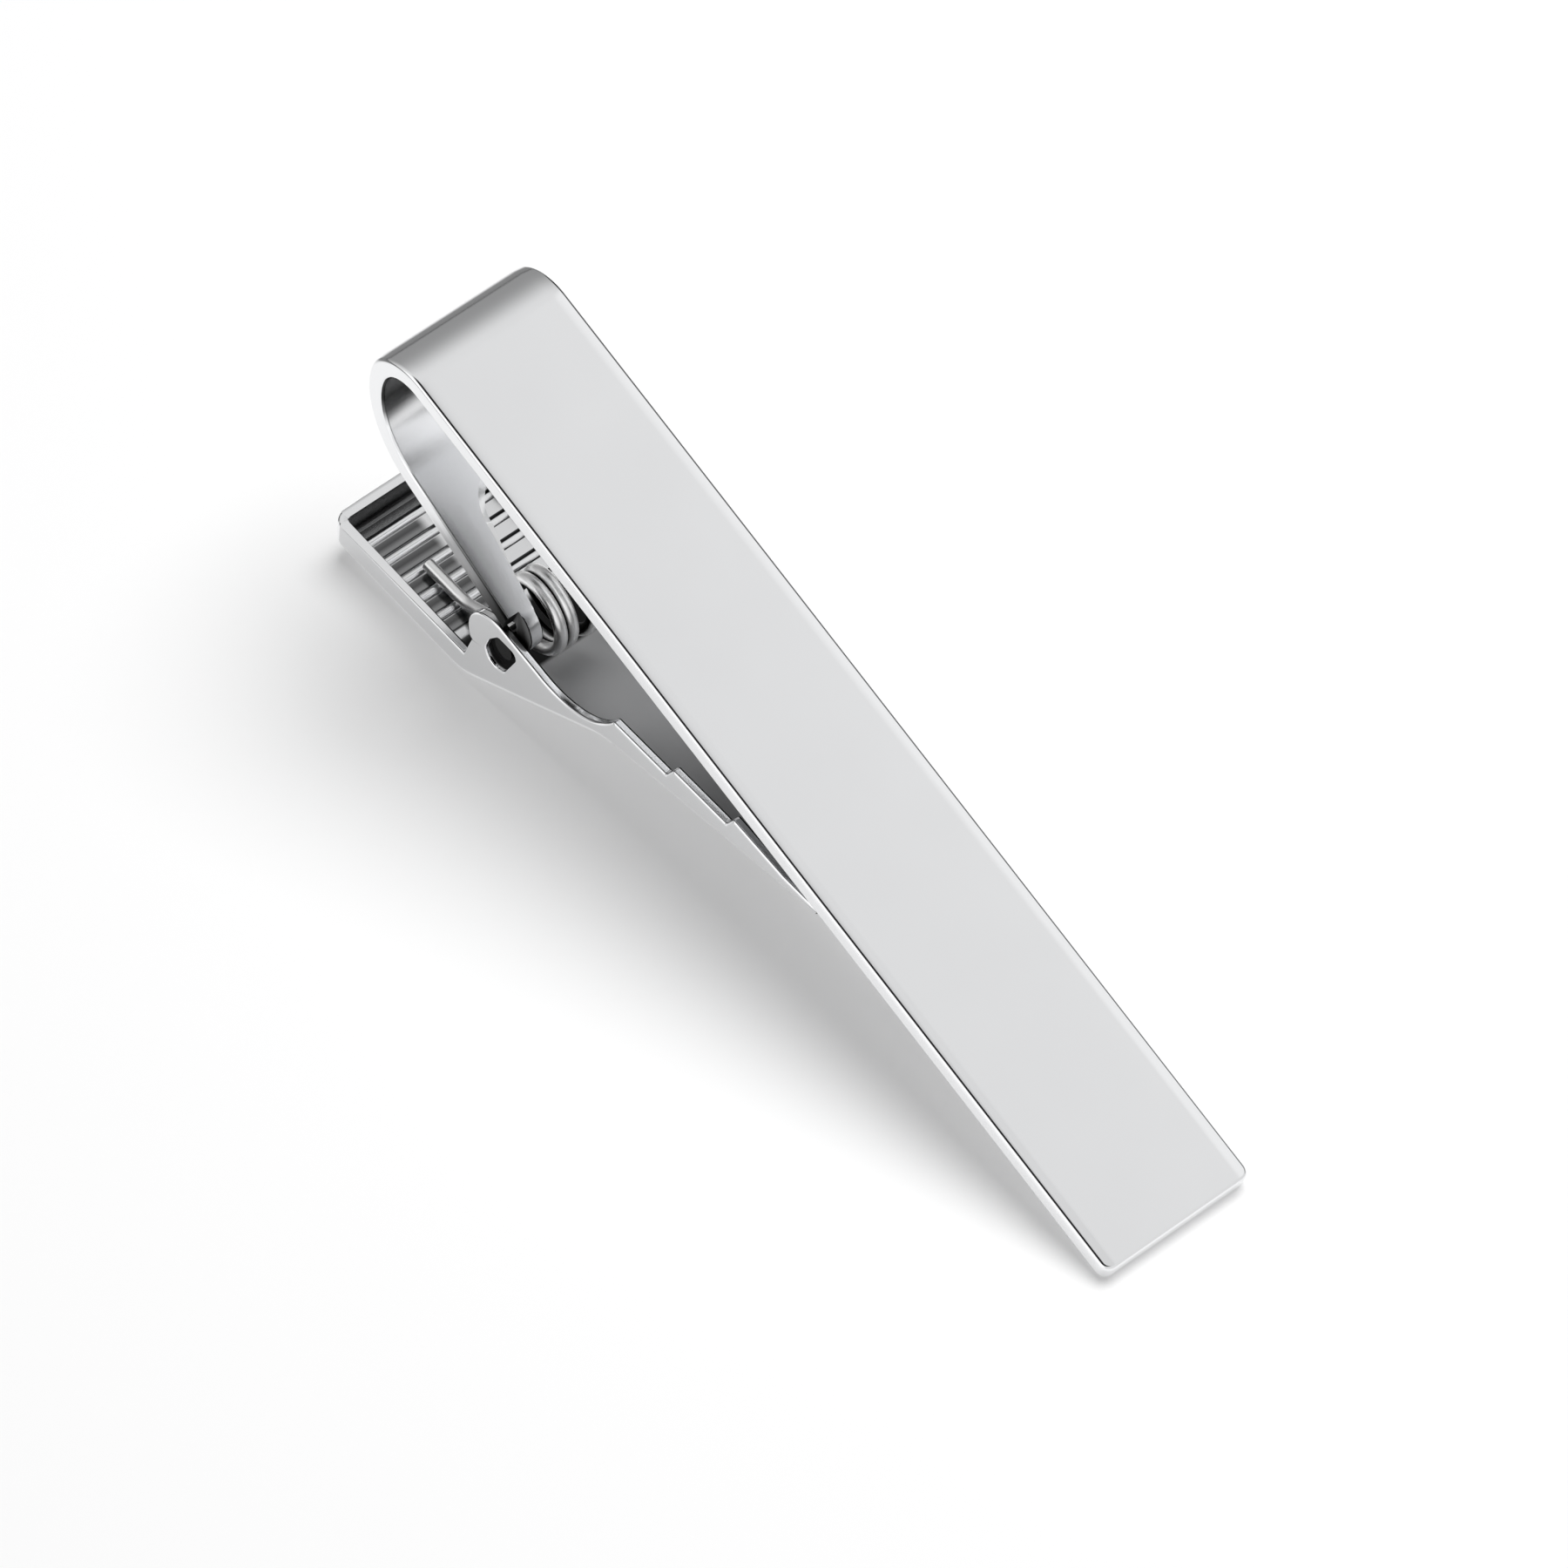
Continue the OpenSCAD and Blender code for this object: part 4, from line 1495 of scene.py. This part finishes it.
    def build(self) -> bpy.types.Object:
        """Models the spring as a round wire along its path.

        Returns:
            The finished spring, laid down.
        """
        bench, points = self.bench, self.path()
        bpy.ops.curve.primitive_bezier_curve_add()
        wire = bpy.context.object
        wire.name = "torsion_spring_wire"
        wire.data.splines.clear()
        spline = wire.data.splines.new("POLY")
        spline.points.add(len(points) - 1)
        for point, place in zip(spline.points, points):
            point.co = (*place, 1)
        wire.data.dimensions = "3D"
        wire.data.bevel_depth = self.wire_d / 2
        wire.data.bevel_resolution = 6
        wire.data.use_fill_caps = True
        wire.data.twist_mode = "MINIMUM"
        bench.pick(wire)
        bpy.ops.object.convert(target="MESH")
        wire = bpy.context.object
        bench.tidy(wire)
        bench.ease(wire, self.end_r, 2, lambda ends: True)
        bench.shade(wire, 50)
        bench.paint_light(wire, self._painted_light, smooth=True)
        return bench.lay_down(wire)


@dataclass(frozen=True)
class Patch:
    """A soft-edged patch of the light tent: its direction, its inner and outer angle, and what it adds."""

    way: Triple
    inner: float
    outer: float
    adds: float


@dataclass(frozen=True)
class Studio:
    """The floor, the light and the camera."""

    camera_azimuth: float = -1.17924360
    camera_elevation: float = 1.12866966
    camera_roll: float = 0.553218495
    camera_distance: float = 620.0
    camera_range: Span = (0.01, 10.0)
    pixels_per_mm: float = 27.3735
    image_px: float = 1800.0
    sensor_mm: float = 36.0
    aim: Triple = (27.0, 0.0, -2.0)
    shift_right: float = -2.0979
    shift_up: float = 1.0793
    floor_size: float = 4.0
    floor_grey: float = 0.9
    lamp_power: float = 2.75
    lamp_size: float = 0.42
    lamp_place: Triple = (0.02, 0.15, 0.46)
    fill_share: float = 0.27
    gloss_fill: float = 0.55
    dark_left: Span = (-0.035, -0.06)
    dark_far: Span = (0.018, 0.04)
    dark_share: float = 0.75
    tent_level: float = 0.8
    tent_on_matt: float = 0.3
    patches: tuple[Patch, ...] = (
        Patch((-0.92, 0.39, 0.0), 5, 76, -0.49),
        Patch((0.12, 0.62, 0.78), 5, 16, 0.16),
        Patch((-0.1, 1.0, 0.0), 22, 42, -0.6),
        Patch((0.0, -0.92, 0.38), 25, 42, 0.4),
    )
    gap: Patch = Patch((0.17, -0.27, 0.95), 20, 31, -0.98)

    def camera(self, placement: Matrix) -> None:
        """Sets the camera at the photograph's viewpoint, which is known in the bar's frame.

        Args:
            placement: How the bar's frame is laid down.
        """
        az, el, roll = self.camera_azimuth, self.camera_elevation, self.camera_roll
        back = Vector((math.cos(az) * math.cos(el), math.sin(az) * math.cos(el), math.sin(el)))
        level = Vector((-math.sin(az), math.cos(az), 0))
        above = back.cross(level)
        right = level * math.cos(roll) + above * math.sin(roll)
        up = above * math.cos(roll) - level * math.sin(roll)
        place = Vector(self.aim) + self.shift_right * right + self.shift_up * up + self.camera_distance * back
        turn = placement.to_quaternion().to_matrix()
        axes = Matrix([turn @ right, turn @ up, turn @ back]).transposed()
        bpy.ops.object.camera_add()
        camera = bpy.context.object
        camera.name = "photo_camera"
        camera.matrix_world = Matrix.Translation(placement @ place) @ axes.to_4x4()
        camera.data.sensor_width = self.sensor_mm
        camera.data.lens = self.pixels_per_mm * self.camera_distance / self.image_px * self.sensor_mm
        camera.data.clip_start, camera.data.clip_end = self.camera_range
        bpy.context.scene.camera = camera

    def floor(self) -> None:
        """Lays a plain pale floor, which the camera sees as white outside the shadow; the metal sees it with an added
        glow and a painted pool of light, darker to the left and at the far side.
        """
        bpy.ops.mesh.primitive_plane_add(size=self.floor_size)
        floor = bpy.context.object
        floor.name = "floor"
        material = bpy.data.materials.new("floor_white")
        material.use_nodes = True
        shader = Shader(material.node_tree)
        camera, gloss, clear = (shader.ray(kind) for kind in ("Camera", "Glossy", "Transmission"))
        place = shader.node("ShaderNodeTexCoord", out="Object")
        left = shader.step(shader.axis(place, "X"), *self.dark_left)
        far = shader.step(shader.axis(place, "Y"), *self.dark_far)
        # Painted pool of light: darker to the left and at the far side, seen only in reflections.
        painted_pool = left.at_least(far) * (1 - camera)
        grey = (1 - painted_pool * self.dark_share) * self.floor_grey
        pale = shader.node("ShaderNodeCombineColor", inputs={"Red": grey, "Green": grey, "Blue": grey})
        matt = shader.node("ShaderNodeBsdfDiffuse", inputs={"Color": pale})
        glow = shader.node("ShaderNodeEmission", inputs={"Color": (*WHITE, 1), "Strength": 1.0})
        fill = camera.at_least(clear) * self.fill_share + gloss * (1 - painted_pool) * self.gloss_fill
        mixed = shader.node("ShaderNodeMixShader", inputs={0: fill, 1: matt, 2: glow})
        shader.node("ShaderNodeOutputMaterial", inputs={"Surface": mixed})
        floor.data.materials.append(material)

    @staticmethod
    def _within(shader: Shader, way: Signal, patch: Patch) -> Signal:
        """1 within a patch's inner angle, falling to 0 at its outer angle.

        Args:
            shader: The world's shader.
            way: The direction that is looked in.
            patch: The patch.

        Returns:
            The level.
        """
        unit = Vector(patch.way).normalized()
        dot = shader.node("ShaderNodeVectorMath", {"operation": "DOT_PRODUCT"}, {0: way, 1: unit}, out="Value")
        near, far = (math.cos(math.radians(angle)) for angle in (patch.inner, patch.outer))
        return shader.step(dot, far, near)

    def world(self) -> None:
        """Surrounds the clip with a soft light tent: bright all round, with a dark gap overhead and at the back."""
        world = bpy.data.worlds.new("light_tent")
        bpy.context.scene.world = world
        world.use_nodes = True
        shader = Shader(world.node_tree)
        way = shader.node("ShaderNodeTexCoord", out="Generated")
        level: Any = self.tent_level
        for patch in self.patches:
            level = level + patch.adds * self._within(shader, way, patch)
        level = level * (1 + self.gap.adds * self._within(shader, way, self.gap))
        camera, gloss = shader.ray("Camera"), shader.ray("Glossy")
        strength = level * (gloss + self.tent_on_matt * (1 - gloss)) * (1 - camera) + camera
        glow = shader.node("ShaderNodeBackground", inputs={"Color": (*WHITE, 1), "Strength": strength})
        shader.node("ShaderNodeOutputWorld", inputs={"Surface": glow})

    def lamp(self) -> None:
        """Hangs one large soft lamp overhead, which throws the soft shadow."""
        bpy.ops.object.light_add(type="AREA", location=self.lamp_place)
        lamp = bpy.context.object
        lamp.name = "overhead_softbox"
        lamp.data.shape = "DISK"
        lamp.data.size = self.lamp_size
        lamp.data.energy = self.lamp_power
        lamp.rotation_euler = Vector(self.lamp_place).to_track_quat("Z", "Y").to_euler()
        lamp.visible_glossy = False

    def build(self, placement: Matrix) -> None:
        """Sets up the camera, the floor, the surroundings and the lamp.

        Args:
            placement: How the bar's frame is laid down.
        """
        bpy.context.scene.view_settings.view_transform = "Standard"
        self.camera(placement)
        self.floor()
        self.world()
        self.lamp()


def dress(piece: bpy.types.Object, finish: MetalFinish) -> None:
    """Gives a piece its only material.

    Args:
        piece: The piece.
        finish: What its material is made from.
    """
    piece.data.materials.clear()
    piece.data.materials.append(finish.make())


def main() -> None:
    """Builds the studio and the three pieces, in the order in which the clip is assembled."""
    logging.basicConfig(level=logging.INFO, format="%(message)s")
    layout, pad = Layout(), PadSizes()
    placement = layout.resting()
    Studio().build(placement)
    bench = Bench(placement)

    bar = FrontBar(layout, bench).build()
    dress(bar, BarFinish("polished_bar_plate", layout))
    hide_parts("front_bar")
    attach(bar, "bar")

    lever = ClipLever(layout, pad, bench).build()
    dress(lever, LeverFinish("polished_lever_plate", layout))
    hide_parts("clip_lever")
    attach(lever, "lever")

    spring = TorsionSpring(layout, pad, bench).build()
    bright = {"roughness": 0.36, "roughness_spread": 0.02, "deep_roughness": 0.1}
    dress(spring, MetalFinish("bright_wire", layout, WHITE, WHITE, **bright))
    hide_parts("torsion_spring")
    hinge = placement @ Vector((layout.hinge.x, 0, layout.hinge.y))
    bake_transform(spring)


if __name__ == "__main__":
    main()
